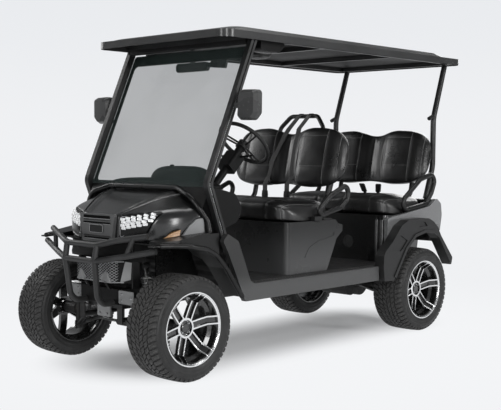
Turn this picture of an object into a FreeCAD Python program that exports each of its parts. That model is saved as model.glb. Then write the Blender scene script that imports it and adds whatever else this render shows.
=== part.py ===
import FreeCAD, Part
import math
import os
import Sketcher

# A four-seat electric golf cart, lifted on all-terrain tyres, about 3.1 m long.
# X points to the vehicle's left, Y to its rear and Z up. The origin lies on the ground, under the
# middle of the cart. Heights are measured from the ground and lengths from the front axle line,
# which front_axle_y puts in its place. All sizes are millimetres, and angles are degrees.

V = FreeCAD.Vector
doc = FreeCAD.newDocument("GolfCart")
sheet = doc.addObject("Spreadsheet::Sheet", "Sizes")

SIZES = {
    # Stance
    "wheelbase": 2220,
    "front_overhang": 305,
    "rear_overhang": 545,
    "wheel_offset": 512.5,
    "tyre_radius": 292,
    "tyre_width": 255,
    "tread_width": 200,
    "running_clearance": 5,
    "fit_clearance": 0.3,
    "running_gap": 0.1,
    # Rims and hubs
    "bead_radius": 190.5,
    "rim_width": 235,
    "rim_lip_height": 12.5,
    "rim_lip_thickness": 8,
    "rim_wall": 6,
    "drop_depth": 18,
    "spoke_count": 6,
    "spoke_half_width": 25,
    "spoke_ridge": 8,
    "spoke_thickness": 22,
    "spoke_channel": 12,
    "spoke_angle": 40,
    "hub_recess": 64,
    "hub_ring_radius": 58,
    "hub_radius": 46,
    "hub_length": 55,
    "stub_radius": 21,
    "stub_length": 36,
    "hub_cap_radius": 26,
    # Chassis frame
    "rail_offset": 200,
    "rail_width": 60,
    "rail_bottom": 360,
    "frame_front": -110,
    "frame_rear": 2500,
    "nose_rail_offset": 125,
    "nose_rail_rear": 520,
    "crossmember_width": 70,
    # Front suspension and steering
    "kingpin_offset": 400,
    "kingpin_radius": 17,
    "kingpin_height": 150,
    "pivot_radius": 16,
    "arm_spread": 110,
    "damper_foot_offset": 310,
    "bush_radius": 16,
    "arm_tube_radius": 13,
    "steering_arm_length": 110,
    "steering_arm_thickness": 14,
    "tie_rod_radius": 9,
    "rack_drop": 61,
    "rod_end_gap": 2,
    "rack_housing_length": 290,
    "joint_height": 46,
    "tower_plate": 8,
    "bush_length": 44,
    "bush_pin_radius": 7,
    "damper_radius": 34,
    "damper_top_offset": 215,
    "damper_top_height": 600,
    # Rear axle
    "axle_tube_radius": 36,
    "drum_radius": 118,
    "drum_width": 70,
    "gear_case_radius": 95,
    "gear_case_width": 140,
    "motor_radius": 75,
    "motor_length": 230,
    "spring_offset": 300,
    "spring_width": 50,
    "spring_thickness": 20,
    "spring_half_length": 330,
    # Cabin floor and sills
    "cabin_half_width": 556,
    "floor_top": 500,
    "floor_thickness": 30,
    "floor_front": 415,
    "toe_top_y": 285,
    "toe_top_height": 799.7,
    "sill_outer": 588,
    "sill_bottom": 392,
    "sill_rear": 1740,
    # Front body
    "cowl_half_width": 515,
    "hoop_tube_radius": 16,
    "grille_half_width": 156,
    "grille_bottom": 738,
    "grille_top": 897,
    "grille_front": -150,
    "cowl_bottom": 750,
    "cowl_cut_offset": 400,
    "hoop_y": 176,
    "dash_front": 195.3,
    "dash_half_width": 500,
    "mesh_half_width": 150,
    "mesh_bottom": 515,
    "mesh_top": 640,
    "mesh_front": -189,
    "beam_half_width": 300,
    "beam_front": -150,
    "beam_bottom": 392,
    "beam_top": 478,
    "beam_plate_thickness": 6,
    "tow_plate_half_width": 58,
    "tow_plate_thickness": 10,
    "tow_hole_offset": 32,
    "tow_hole_height": 325,
    "tow_hole_radius": 6.5,
    "fender_outer": 630,
    "fender_inner": 470,
    "fender_skin": 8,
    "fender_lip_radius": 14,
    "liner_inner": 240,
    "rear_flare_lip": 22,
    # Screen and roof
    "screen_rake": 23.5,
    "screen_base_y": 196,
    "screen_base_height": 1052,
    "screen_height": 890,
    "screen_thickness": 6,
    "screen_band": 26,
    "screen_trim_thickness": 8,
    "strut_outer": 556,
    "strut_thickness": 34,
    "strut_depth": 44,
    "roof_half_width": 576,
    "roof_front": 280,
    "roof_bottom": 1898,
    "roof_rim_top": 1941,
    "roof_top": 1967,
    "roof_wall": 9,
    "roof_corner": 70,
    "roof_crown_front": 300,
    "roof_crown_rear": 2574,
    "roof_crown_inset": 10,
    "roof_crown_slope": 26,
    "roof_frame_tube": 28,
    "roof_frame_front": 500,
    "roof_frame_rear": 2730,
    # Seats
    "seat_half_width": 500,
    "seat_bottom": 822,
    "cushion_thickness": 105,
    "front_cushion_front": 862,
    "front_cushion_rear": 1372,
    "rear_cushion_front": 1936,
    "rear_cushion_rear": 2440,
    "back_bottom": 1040,
    "back_height": 385,
    "back_thickness": 105,
    "back_recline": 13,
    "front_back_y": 1395,
    "rear_back_y": 2375,
    "pod_half_width": 525,
    "pod_wall": 6,
    "pod_front": 876,
    "pod_rear_top": 1420,
    "pod_rear_bottom": 1262,
    "rear_pod_front": 1900,
    "battery_half_width": 400,
    "battery_height": 250,
    "battery_depth": 270,
    "deck_rise": 93,
    "deck_panel_half_width": 300,
    "deck_panel_rise": 6,
    "panel_front_y": 1935,
    "panel_front_height": 812,
    "panel_knee_y": 2385,
    "panel_knee_height": 869,
    "tail_lamp_offset": 465,
    "tail_lamp_half_width": 35,
    "grab_tube_radius": 15,
    "restraint_offset": 526,
    "restraint_tube_radius": 14,
    # Steering wheel
    "steering_offset": 280,
    "column_pivot_y": 425,
    "column_pivot_height": 985,
    "steering_wheel_radius": 166,
    "steering_rim_radius": 12,
    "column_tilt": 45,
    "column_radius": 24,
    "column_length": 455,
    "column_drop": 45,
    "column_end": 25,
    "column_pod_width": 110,
    "column_pod_height": 84,
    "column_pod_length": 120,
    "column_pod_drop": 105,
    # Front guard and lamps
    "guard_tube_radius": 17,
    "guard_post_offset": 137,
    # Rear body and fenders
    "arch_radius": 400,
}


class Length:
    """A number together with the sheet expression that gives it, so that features can follow it."""

    def __init__(self, value, text):
        self.value = float(value)
        self.text = text

    @staticmethod
    def of(thing):
        return thing if isinstance(thing, Length) else Length(thing, repr(float(thing)))

    def __add__(self, other):
        other = Length.of(other)
        return Length(self.value + other.value, f"({self.text} + {other.text})")

    def __sub__(self, other):
        other = Length.of(other)
        return Length(self.value - other.value, f"({self.text} - {other.text})")

    def __mul__(self, other):
        other = Length.of(other)
        return Length(self.value * other.value, f"({self.text} * {other.text})")

    def __truediv__(self, other):
        other = Length.of(other)
        return Length(self.value / other.value, f"({self.text} / {other.text})")

    def __neg__(self):
        return Length(-self.value, f"(0 - {self.text})")

    def __rsub__(self, other):
        return Length.of(other) - self

    __radd__ = __add__
    __rmul__ = __mul__


class Sheet:
    """The driving dimensions, read as attributes."""


S = Sheet()
for row, (word, number) in enumerate(SIZES.items(), start=1):
    sheet.set(f"A{row}", word)
    sheet.set(f"B{row}", str(number))
    sheet.setAlias(f"B{row}", word)
    setattr(S, word, Length(number, f"Sizes.{word}"))
doc.recompute()

front_axle_y = -(S.wheelbase + S.rear_overhang - S.front_overhang) / 2
HOME = (0, front_axle_y, 0)
rail_top = S.floor_top - S.floor_thickness - S.fit_clearance
box_top = S.seat_bottom - S.fit_clearance
deck_height = S.seat_bottom + S.deck_rise
roof_underside = S.roof_rim_top - S.roof_wall
between_struts = S.strut_outer - S.strut_thickness - S.fit_clearance
rear_end = S.wheelbase + S.rear_overhang
pieces = []


# Helpers for sketches and features

def number(thing):
    return Length.of(thing).value


def place(thing, at, axis=None, angle=0):
    """Put a piece at a point, turned about an axis, and let it follow the sheet."""
    turn = FreeCAD.Rotation(axis or V(0, 0, 1), number(angle))
    thing.Placement = FreeCAD.Placement(V(*[number(a) for a in at]), turn)
    for letter, value in zip("xyz", at):
        thing.setExpression(f"Placement.Base.{letter}", Length.of(value).text)
    if isinstance(angle, Length):
        thing.setExpression("Placement.Rotation.Angle", angle.text)


def keep(thing, label, at=HOME, axis=None, angle=0):
    thing.Label = label
    place(thing, at, axis, angle)
    pieces.append(thing)
    return thing


def new_body(name):
    body = doc.addObject("PartDesign::Body", name)
    body.AllowCompound = True
    return body


PLANES = {"X": "YZ_Plane", "Y": "XZ_Plane", "Z": "XY_Plane"}


def sketch_on(body, name, axis, level):
    """An empty sketch square to the axis; its own normal is -Y for axis Y."""
    sketch = body.newObject("Sketcher::SketchObject", name)
    role = PLANES[axis]
    plane = next(f for f in body.Origin.OriginFeatures if f.Role == role)
    sketch.AttachmentSupport = (plane, [""])
    sketch.MapMode = "FlatFace"
    lift = -Length.of(level) if axis == "Y" else Length.of(level)
    sketch.AttachmentOffset = FreeCAD.Placement(V(0, 0, lift.value), FreeCAD.Rotation())
    sketch.setExpression("AttachmentOffset.Base.z", lift.text)
    return sketch


def fix(sketch, kind, where, size):
    size = Length.of(size)
    index = sketch.addConstraint(Sketcher.Constraint(kind, *where, size.value))
    sketch.setExpression(f"Constraints[{index}]", size.text)


def corner_arc(before, corner, after, radius):
    """Start, end and centre of the arc that rounds a corner."""
    u = (before - corner).normalize()
    v = (after - corner).normalize()
    half = u.getAngle(v) / 2
    reach = radius / math.tan(half)
    centre = corner + (u + v).normalize() * (radius / math.sin(half))
    return corner + u * reach, corner + v * reach, centre


def draw_outline(sketch, corners):
    """A closed outline through corners (u, v) or (u, v, rounding), held by the sheet's sizes."""
    spots = [(Length.of(c[0]), Length.of(c[1]), c[2] if len(c) > 2 else None) for c in corners]
    count = len(spots)
    points = [V(spot[0].value, spot[1].value, 0) for spot in spots]
    ends = []
    for i, spot in enumerate(spots):
        if spot[2] is None:
            ends.append((points[i], points[i], None))
        else:
            after = points[(i + 1) % count]
            ends.append(corner_arc(points[i - 1], points[i], after, number(spot[2])))
    lines = []
    for i in range(count):
        line = Part.LineSegment(ends[i][1], ends[(i + 1) % count][0])
        lines.append(sketch.addGeometry(line, False))
    for i, (u, v, rounding) in enumerate(spots):
        before, after = lines[i - 1], lines[i]
        if rounding is None:
            sketch.addConstraint(Sketcher.Constraint("Coincident", before, 2, after, 1))
            where = (-1, 1, after, 1)
        else:
            start, end, centre = ends[i]
            first = math.atan2(start.y - centre.y, start.x - centre.x)
            last = math.atan2(end.y - centre.y, end.x - centre.x)
            left_turn = (start - centre).cross(end - centre).z > 0
            circle = Part.Circle(centre, V(0, 0, 1), number(rounding))
            sweep = (first, last) if left_turn else (last, first)
            arc = sketch.addGeometry(Part.ArcOfCircle(circle, *sweep), False)
            near, far = (1, 2) if left_turn else (2, 1)
            sketch.addConstraint(Sketcher.Constraint("Tangent", before, 2, arc, near))
            sketch.addConstraint(Sketcher.Constraint("Tangent", arc, far, after, 1))
            fix(sketch, "Radius", (arc,), rounding)
            point = sketch.addGeometry(Part.Point(points[i]), True)
            sketch.addConstraint(Sketcher.Constraint("PointOnObject", point, 1, before))
            sketch.addConstraint(Sketcher.Constraint("PointOnObject", point, 1, after))
            where = (-1, 1, point, 1)
        fix(sketch, "DistanceX", where, u)
        fix(sketch, "DistanceY", where, v)


def draw_circle(sketch, u, v, radius):
    circle = Part.Circle(V(number(u), number(v), 0), V(0, 0, 1), number(radius))
    index = sketch.addGeometry(circle, False)
    fix(sketch, "Radius", (index,), radius)
    fix(sketch, "DistanceX", (-1, 1, index, 3), u)
    fix(sketch, "DistanceY", (-1, 1, index, 3), v)


def profile(body, name, axis, shape, level):
    sketch = sketch_on(body, name + "_profile", axis, level)
    if callable(shape):
        shape(sketch)
    else:
        draw_outline(sketch, shape)
    return sketch


def pad(body, name, axis, shape, start, stop):
    """Material between two levels along an axis; shape is a list of corners or a drawing function."""
    feature = body.newObject("PartDesign::Pad", name)
    feature.Profile = profile(body, name, axis, shape, stop if axis == "Y" else start)
    span = Length.of(stop) - start
    feature.Length = span.value
    feature.setExpression("Length", span.text)
    return feature


def cut(body, name, axis, shape, start, stop):
    """The same outline taken away between two levels."""
    feature = body.newObject("PartDesign::Pocket", name)
    feature.Profile = profile(body, name, axis, shape, start if axis == "Y" else stop)
    span = Length.of(stop) - start
    feature.Length = span.value
    feature.setExpression("Length", span.text)
    return feature


def turn_solid(body, name, shape):
    """A turned solid: the outline's first coordinate runs along X, the second is the radius."""
    feature = body.newObject("PartDesign::Revolution", name)
    sketch = profile(body, name, "Z", shape, 0)
    feature.Profile = sketch
    feature.ReferenceAxis = (sketch, ["H_Axis"])
    feature.Angle = 360
    return feature


def loft(body, name, axis, sections):
    """A loft through (level, outline) sections with equal numbers of corners."""
    sketches = [profile(body, f"{name}_{i}", axis, shape, level)
                for i, (level, shape) in enumerate(sections)]
    feature = body.newObject("PartDesign::AdditiveLoft", name)
    feature.Profile = sketches[0]
    feature.Sections = sketches[1:]
    return feature


def around(body, name, feature, count):
    """Copies of a feature turned evenly about the body's X axis."""
    pattern = body.newObject("PartDesign::PolarPattern", name)
    pattern.Originals = [feature]
    pattern.Axis = (next(f for f in body.Origin.OriginFeatures if f.Role == "X_Axis"), [""])
    pattern.Angle = 360
    pattern.Occurrences = int(number(count))
    if isinstance(count, Length):
        pattern.setExpression("Occurrences", count.text)
    body.Tip = pattern
    return pattern


def along_edge(edge, direction):
    """True for a straight edge that runs along the direction."""
    if edge.Curve.TypeId != "Part::GeomLine":
        return False
    return abs(abs(edge.tangentAt(edge.FirstParameter).dot(direction)) - 1) < 1e-6


def round_edges(body, name, radius, wanted):
    """Fillet the edges of the body so far for which wanted(edge) holds."""
    doc.recompute()
    base = body.Tip
    names = [f"Edge{i}" for i, edge in enumerate(base.Shape.Edges, start=1) if wanted(edge)]
    feature = body.newObject("PartDesign::Fillet", name)
    feature.Base = (base, names)
    feature.Radius = number(radius)
    if isinstance(radius, Length):
        feature.setExpression("Radius", radius.text)
    return feature


def box(u0, u1, v0, v1, rounding=None):
    """Corners of a rectangle."""
    corners = [(u0, v0), (u1, v0), (u1, v1), (u0, v1)]
    return [c + (rounding,) for c in corners] if rounding else corners


def circle(u, v, radius):
    return lambda sketch: draw_circle(sketch, u, v, radius)


def band(route, width, bend=None):
    """Outline of a strip of even width along a bent route, with mitred or rounded corners."""
    points = [V(number(p[0]), number(p[1]), 0) for p in route]
    sides = [], []
    for i, spot in enumerate(route):
        ahead = (points[min(i + 1, len(points) - 1)] - points[min(i, len(points) - 2)]).normalize()
        behind = (points[max(i, 1)] - points[max(i - 1, 0)]).normalize()
        normal = V(-ahead.y - behind.y, ahead.x + behind.x, 0).normalize()
        stretch = 1 / normal.dot(V(-ahead.y, ahead.x, 0))
        for side, sign in zip(sides, (0.5, -0.5)):
            shift = Length.of(width) * (sign * stretch)
            corner = (spot[0] + shift * normal.x, spot[1] + shift * normal.y)
            if bend and 0 < i < len(route) - 1:
                outer = (ahead.cross(behind).z > 0) == (sign > 0)
                corner += (bend + Length.of(width) / 2 if outer else bend - Length.of(width) / 2,)
            side.append(corner)
    return sides[0] + sides[1][::-1]


def route_wire(points, bend, closed=False):
    """A wire of straight runs joined by tangent arcs."""
    spots = [V(*[number(a) for a in p]) for p in points]
    count = len(spots)
    edges = []
    stops = []
    for i in range(count):
        if not closed and i in (0, count - 1):
            stops.append((spots[i], spots[i], None))
            continue
        before, after = spots[i - 1], spots[(i + 1) % count]
        shorter = min((before - spots[i]).Length, (after - spots[i]).Length)
        half = (before - spots[i]).getAngle(after - spots[i]) / 2
        radius = min(number(bend), 0.48 * shorter * math.tan(half))
        start, end, centre = corner_arc(before, spots[i], after, radius)
        middle = centre + (spots[i] - centre).normalize() * radius
        stops.append((start, end, middle))
    for i in range(count if closed else count - 1):
        start, end, middle = stops[i]
        if middle:
            edges.append(Part.Arc(start, middle, end).toShape())
        edges.append(Part.makeLine(end, stops[(i + 1) % count][0]))
    return Part.Wire(edges)


def tube(points, radius, bend, closed=False):
    """A round bar along a bent route."""
    wire = route_wire(points, bend, closed)
    first = wire.Edges[0]
    at = first.valueAt(first.FirstParameter)
    section = Part.Wire([Part.makeCircle(number(radius), at, first.tangentAt(first.FirstParameter))])
    return wire.makePipeShell([section], True, False)


def rod(start, end, radius):
    """A straight round bar between two points."""
    a, b = (V(*[number(c) for c in p]) for p in (start, end))
    return Part.makeCylinder(number(radius), (b - a).Length, a, b - a)


def mirrored(points):
    """The same points on the vehicle's right."""
    return [(-p[0], p[1], p[2]) for p in points]


def shape_feature(label, shapes, fuse=True):
    """A piece made of swept or joined solids, kept as one shape."""
    whole = shapes[0]
    if len(shapes) > 1:
        whole = whole.multiFuse(shapes[1:]) if fuse else Part.makeCompound(shapes)
    feature = doc.addObject("Part::Feature", label)
    feature.Shape = whole.removeSplitter() if fuse else whole
    return keep(feature, label)


def both_sides(label, half):
    """A left-hand solid and its mirror image, as one piece of two solids."""
    other = doc.addObject("Part::Mirroring", label + "_right")
    other.Source = half
    other.Base = V(0, 0, 0)
    other.Normal = V(1, 0, 0)
    both = doc.addObject("Part::Compound", label + "_pair")
    both.Links = [half, other]
    return keep(both, label)


# Chassis: aluminium ladder frame, narrow between the front wheels

def chassis_frame():
    body = new_body("chassis_frame_body")
    rail_in = S.rail_offset - S.rail_width / 2
    rail_out = S.rail_offset + S.rail_width / 2
    nose_in = S.nose_rail_offset - S.rail_width / 2
    nose_out = S.nose_rail_offset + S.rail_width / 2
    neck = S.nose_rail_rear - 100
    outline = [(-nose_out, S.frame_front), (nose_out, S.frame_front), (nose_out, neck),
               (rail_out, S.nose_rail_rear), (rail_out, S.frame_rear), (-rail_out, S.frame_rear),
               (-rail_out, S.nose_rail_rear), (-nose_out, neck)]
    pad(body, "ladder", "Z", outline, S.rail_bottom, rail_top)
    cut(body, "nose_bay", "Z", box(-nose_in, nose_in, S.frame_front + S.crossmember_width, neck),
        S.rail_bottom - 1, rail_top + 1)
    bays = 4
    pitch = (S.frame_rear - S.nose_rail_rear) / bays
    for bay in range(bays):
        near = S.nose_rail_rear + pitch * bay
        far = near + pitch - S.crossmember_width
        cut(body, f"bay_{bay}", "Z", box(-rail_in, rail_in, near, far), S.rail_bottom - 1, rail_top + 1)
    # Towers that carry the heads of the front dampers
    head = S.damper_top_offset
    height = S.damper_top_height
    ear = S.bush_length / 2 + S.fit_clearance
    tower = [(nose_in, rail_top), (nose_out, rail_top), (head + 22, height - 14), (head + 22, height + 22),
             (head - 30, height + 22)]
    mirror_tower = [(-x, z) for x, z in tower][::-1]
    for name, near in (("front", -ear - S.tower_plate), ("rear", ear)):
        pad(body, name + "_tower_left", "Y", tower, near, near + S.tower_plate)
        pad(body, name + "_tower_right", "Y", mirror_tower, near, near + S.tower_plate)
    # Hangers that carry the lower arms' pivot tubes
    hang_top = S.rail_bottom
    for name, near in (("front", -arm_pivot_half - S.tower_plate - S.fit_clearance),
                       ("rear", arm_pivot_half + S.fit_clearance)):
        for side, sign in (("left", 1), ("right", -1)):
            middle = arm_pivot_x * sign
            hanger = box(middle - 22, middle + 22, lower_pivot_z - 20, hang_top + 12)
            pad(body, f"{name}_hanger_{side}", "Y", hanger, near, near + S.tower_plate)
    keep(body, "chassis_frame")


# Wheels: wide all-terrain tyres on six-spoke alloy rims

def tyre_form():
    body = new_body("tyre_form")
    half = S.tyre_width / 2
    bore = S.bead_radius + S.fit_clearance
    seat = S.rim_width / 2 - S.rim_lip_thickness - S.fit_clearance
    heel = S.bead_radius + S.rim_lip_height + 1.5
    crown = S.tread_width / 2
    bulge = S.tyre_radius - 60
    section = [(-seat, bore), (seat, bore), (seat, heel), (half - 3, heel + 16), (half, bulge),
               (half - 8, S.tyre_radius - 16), (crown, S.tyre_radius), (-crown, S.tyre_radius),
               (8 - half, S.tyre_radius - 16), (-half, bulge), (3 - half, heel + 16), (-seat, heel)]
    turn_solid(body, "carcass", section)
    return body


def rim_form():
    """A deep-set hub and spokes of two ridges with a channel between them, which climb to the lip."""
    body = new_body("rim_form")
    half = S.rim_width / 2
    lip = S.bead_radius + S.rim_lip_height
    seat = half - S.rim_lip_thickness
    inside = S.bead_radius - S.rim_wall
    well = S.bead_radius - S.drop_depth
    barrel = [(-half, lip), (-seat, lip), (-seat, S.bead_radius), (-seat + 30, S.bead_radius),
              (-seat + 45, well), (seat - 60, well), (seat - 45, S.bead_radius), (seat, S.bead_radius),
              (seat, lip), (half, lip), (half, lip - 7), (seat - 4, inside), (seat - 47, inside),
              (seat - 62, well - S.rim_wall), (-seat + 47, well - S.rim_wall), (-seat + 32, inside),
              (-seat + 4, inside), (-half, lip - 7)]
    turn_solid(body, "barrel", barrel)
    face = half - S.hub_recess
    deep = S.spoke_thickness
    low = S.spoke_channel
    foot = S.hub_ring_radius - 8
    waist = 110
    bend = 150
    ridge = [(face, foot), (face + 6, waist), (face + 14, bend), (half - 7, inside - 3), (half - 1, lip - 9),
             (half - 7, lip - 9), (half - 7.5, inside + 3), (half - 50, inside + 3),
             (face + 14 - deep, bend + 2), (face + 6 - deep, waist), (face - deep, foot)]
    floor_of_channel = [(face - low, foot), (face + 6 - low, waist), (face + 14 - low, bend + 3),
                        (half - 7 - low, inside + 2), (half - 50, inside + 2), (face + 14 - deep, bend + 2),
                        (face + 6 - deep, waist), (face - deep, foot)]
    outer = S.spoke_half_width
    inner = outer - S.spoke_ridge
    for name, shape, start, stop in (("ridge", ridge, inner, outer), ("twin_ridge", ridge, -outer, -inner),
                                     ("channel", floor_of_channel, -inner, inner)):
        arm = pad(body, name, "Y", shape, start, stop)
        around(body, name + "s", arm, S.spoke_count)
    hub_back = face - S.hub_length
    bore = S.stub_radius + S.running_gap
    end = hub_back + S.stub_length + 1
    hub = [(hub_back, bore), (end, bore), (end, 0), (face - 3, 0), (face - 3, S.hub_cap_radius - 4),
           (face - 6, S.hub_cap_radius), (face - low, S.hub_cap_radius), (face - low, S.hub_ring_radius - 16),
           (face, S.hub_ring_radius - 13), (face, S.hub_ring_radius - 2), (face - 2, S.hub_ring_radius),
           (face - deep, S.hub_ring_radius), (face - deep, S.hub_radius), (hub_back, S.hub_radius)]
    turn_solid(body, "hub", hub)
    return body


def fitted(label, form, at, axis=None, angle=0):
    """One of several pieces that share a form."""
    copy = doc.addObject("Part::Compound", label + "_copy")
    copy.Links = [form]
    keep(copy, label, at, axis, angle)


def wheels():
    rubber = tyre_form()
    alloy = rim_form()
    for corner, y in (("front", front_axle_y), ("rear", front_axle_y + S.wheelbase)):
        for side, sign in (("left", 1), ("right", -1)):
            at = (S.wheel_offset * sign, y, S.tyre_radius)
            fitted(f"tyre_{corner}_{side}", rubber, at)
            if side == "left":
                fitted(f"rim_{corner}_{side}", alloy, at, V(1, 0, 0), S.spoke_angle)
            else:
                fitted(f"rim_{corner}_{side}", alloy, at, V(0, 0, 1), 180)


# Front suspension: double arms, knuckles on kingpins, and a rack with tie rods

def knuckle(label, sign):
    axle = S.tyre_radius
    pin = (S.kingpin_offset * sign, 0)
    half = S.kingpin_height / 2
    low = (pin[0], pin[1], axle - half)
    high = (pin[0], pin[1], axle + half)
    arm_z = axle - S.rack_drop + S.tie_rod_radius + S.rod_end_gap
    shoulder = hub_back_x - S.running_clearance
    shapes = [rod(low, high, S.kingpin_radius),
              rod((pin[0], 0, axle), (stub_end_x * sign, 0, axle), S.stub_radius),
              rod((pin[0], 0, axle), (shoulder * sign, 0, axle), S.hub_radius - 10)]
    width = S.kingpin_radius * 2
    plate = Part.makeBox(number(width), number(S.steering_arm_length + width / 2),
                         number(S.steering_arm_thickness),
                         V(number(pin[0] - width / 2), 0, number(arm_z)))
    shapes.append(plate)
    shape_feature(label, shapes)


def steering_rack():
    z = S.tyre_radius - S.rack_drop
    y = S.steering_arm_length
    end = S.kingpin_offset
    shapes = [rod((-end, y, z), (end, y, z), S.tie_rod_radius)]
    for sign in (1, -1):
        eye = (end * sign, y, z - S.tie_rod_radius)
        shapes.append(rod(eye, (end * sign, y, z + S.tie_rod_radius), 15))
    shape_feature("steering_rack", shapes)


def rack_housing():
    z = S.tyre_radius - S.rack_drop
    y = S.steering_arm_length
    half = S.rack_housing_length / 2
    outer = rod((-half, y, z), (half, y, z), S.tie_rod_radius + 14)
    bore = rod((-half - 1, y, z), (half + 1, y, z), S.tie_rod_radius + S.running_gap)
    feet = []
    for sign in (1, -1):
        foot = Part.makeBox(30, 30, number(S.rail_bottom - z),
                            V(number(S.nose_rail_offset) * sign - 15, number(y) - 15, number(z)))
        feet.append(foot)
    pinion = rod((50, y + 18, z), (50, y + 18, S.rail_bottom - 40), 16)
    shape = outer.multiFuse(feet + [pinion]).cut(bore)
    shape_feature("rack_housing", [shape])


def suspension_arms():
    """A lower and an upper wishbone on each side; the lower one carries the damper's foot pin."""
    shapes = []
    for sign in (1, -1):
        tip_x = S.kingpin_offset * sign
        pivot_x = arm_pivot_x * sign
        for tip_z, pivot_z in ((lower_tip_z, lower_pivot_z), (upper_tip_z, upper_pivot_z)):
            tip = (tip_x, 0, tip_z)
            eye_half = S.joint_height / 2
            eye = rod((tip_x, 0, tip_z - eye_half), (tip_x, 0, tip_z + eye_half), 22)
            legs = [rod((pivot_x, S.arm_spread * end, pivot_z), tip, S.arm_tube_radius) for end in (1, -1)]
            pivot = rod((pivot_x, -arm_pivot_half, pivot_z), (pivot_x, arm_pivot_half, pivot_z),
                        S.pivot_radius)
            wishbone = pivot.multiFuse(legs + [eye])
            if tip_z is lower_tip_z:
                x = S.damper_foot_offset * sign
                reach = S.arm_spread * arm_share
                wishbone = wishbone.fuse(rod((x, -reach, damper_foot_z), (x, reach, damper_foot_z),
                                             S.bush_pin_radius))
            shapes.append(wishbone)
    shape_feature("suspension_arms", shapes, fuse=False)


def front_dampers():
    """A coil spring over a damper on each side, drawn as a sleeve, between two bushes."""
    shapes = []
    half = S.bush_length / 2
    for sign in (1, -1):
        foot = (S.damper_foot_offset * sign, 0, damper_foot_z)
        head = (S.damper_top_offset * sign, 0, S.damper_top_height)
        a = V(*map(number, foot))
        b = V(*map(number, head))
        sleeve = [a + (b - a) * share for share in (0.28, 0.84)]
        bushes = [rod((p[0], -half, p[2]), (p[0], half, p[2]), S.bush_radius) for p in (foot, head)]
        pin = rod((foot[0], -half - 1, foot[2]), (foot[0], half + 1, foot[2]),
                  S.bush_pin_radius + S.running_gap)
        whole = rod(foot, head, 11).multiFuse(bushes + [rod(*sleeve, S.damper_radius)])
        shapes.append(whole.cut(pin))
    shape_feature("front_dampers", shapes, fuse=False)


# Rear axle: gear case with motor, axle tubes, drums and leaf springs

def rear_axle():
    axle = S.tyre_radius
    y = S.wheelbase
    drum_out = hub_back_x - S.running_clearance
    drum_in = drum_out - S.drum_width
    case_half = S.gear_case_width / 2
    shapes = [rod((-drum_out, y, axle), (drum_out, y, axle), S.axle_tube_radius),
              rod((-stub_end_x, y, axle), (stub_end_x, y, axle), S.stub_radius),
              rod((-case_half, y, axle), (case_half, y, axle), S.gear_case_radius)]
    for sign in (1, -1):
        shapes.append(rod((drum_in * sign, y, axle), (drum_out * sign, y, axle), S.drum_radius))
    shape_feature("rear_axle", shapes)


def drive_motor():
    motor_y = S.wheelbase - S.gear_case_radius - S.motor_radius - S.fit_clearance
    half = S.motor_length / 2
    motor = rod((-half, motor_y, S.tyre_radius), (half, motor_y, S.tyre_radius), S.motor_radius)
    shape_feature("drive_motor", [motor])


def leaf_springs():
    body = new_body("leaf_spring_body")
    axle_z = S.tyre_radius - S.axle_tube_radius - S.spring_thickness / 2
    eye_z = S.rail_bottom - 25
    route = [(S.wheelbase - S.spring_half_length, eye_z), (S.wheelbase - 60, axle_z),
             (S.wheelbase + 60, axle_z), (S.wheelbase + S.spring_half_length, eye_z)]
    inner = S.spring_offset - S.spring_width / 2
    outer = S.spring_offset + S.spring_width / 2
    pad(body, "leaf", "X", band(route, S.spring_thickness, 200), inner, outer)
    for name, sign in (("front", -1), ("rear", 1)):
        y = S.wheelbase + S.spring_half_length * sign
        hanger = box(y - 22, y + 22, eye_z - 12, rail_top, 8)
        pad(body, name + "_hanger", "X", hanger, S.rail_offset + S.rail_width / 2, outer)
    both_sides("leaf_springs", body)


# Floor, sills and seat boxes

def floor():
    body = new_body("floor_body")
    low = S.floor_top - S.floor_thickness
    flat = [(S.floor_front, low), (S.rear_pod_front, low), (S.rear_pod_front, S.floor_top),
            (S.floor_front, S.floor_top)]
    pad(body, "pan", "X", flat, -S.cabin_half_width, S.cabin_half_width)
    toe = [(S.floor_front, low), (S.floor_front + 25, low), (S.floor_front + 25, S.floor_top),
           (S.toe_top_y + 25, S.toe_top_height), (S.toe_top_y, S.toe_top_height),
           (S.floor_front, S.floor_top)]
    pad(body, "toe_board", "X", toe, -S.cowl_half_width, S.cowl_half_width)
    keep(body, "floor")


def sills():
    body = new_body("sill_body")
    inner = S.cabin_half_width + S.fit_clearance
    bottom = S.sill_bottom
    side = [(445, bottom, 10), (S.sill_rear, bottom + 4), (S.sill_rear, 490), (495, 490, 60),
            (440, 620, 120), (385, 745, 30), (300, 790), (262, 752, 20), (300, 690, 20), (345, 600)]
    pad(body, "panel", "X", side, inner, S.sill_outer)
    both_sides("sills", body)


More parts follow.
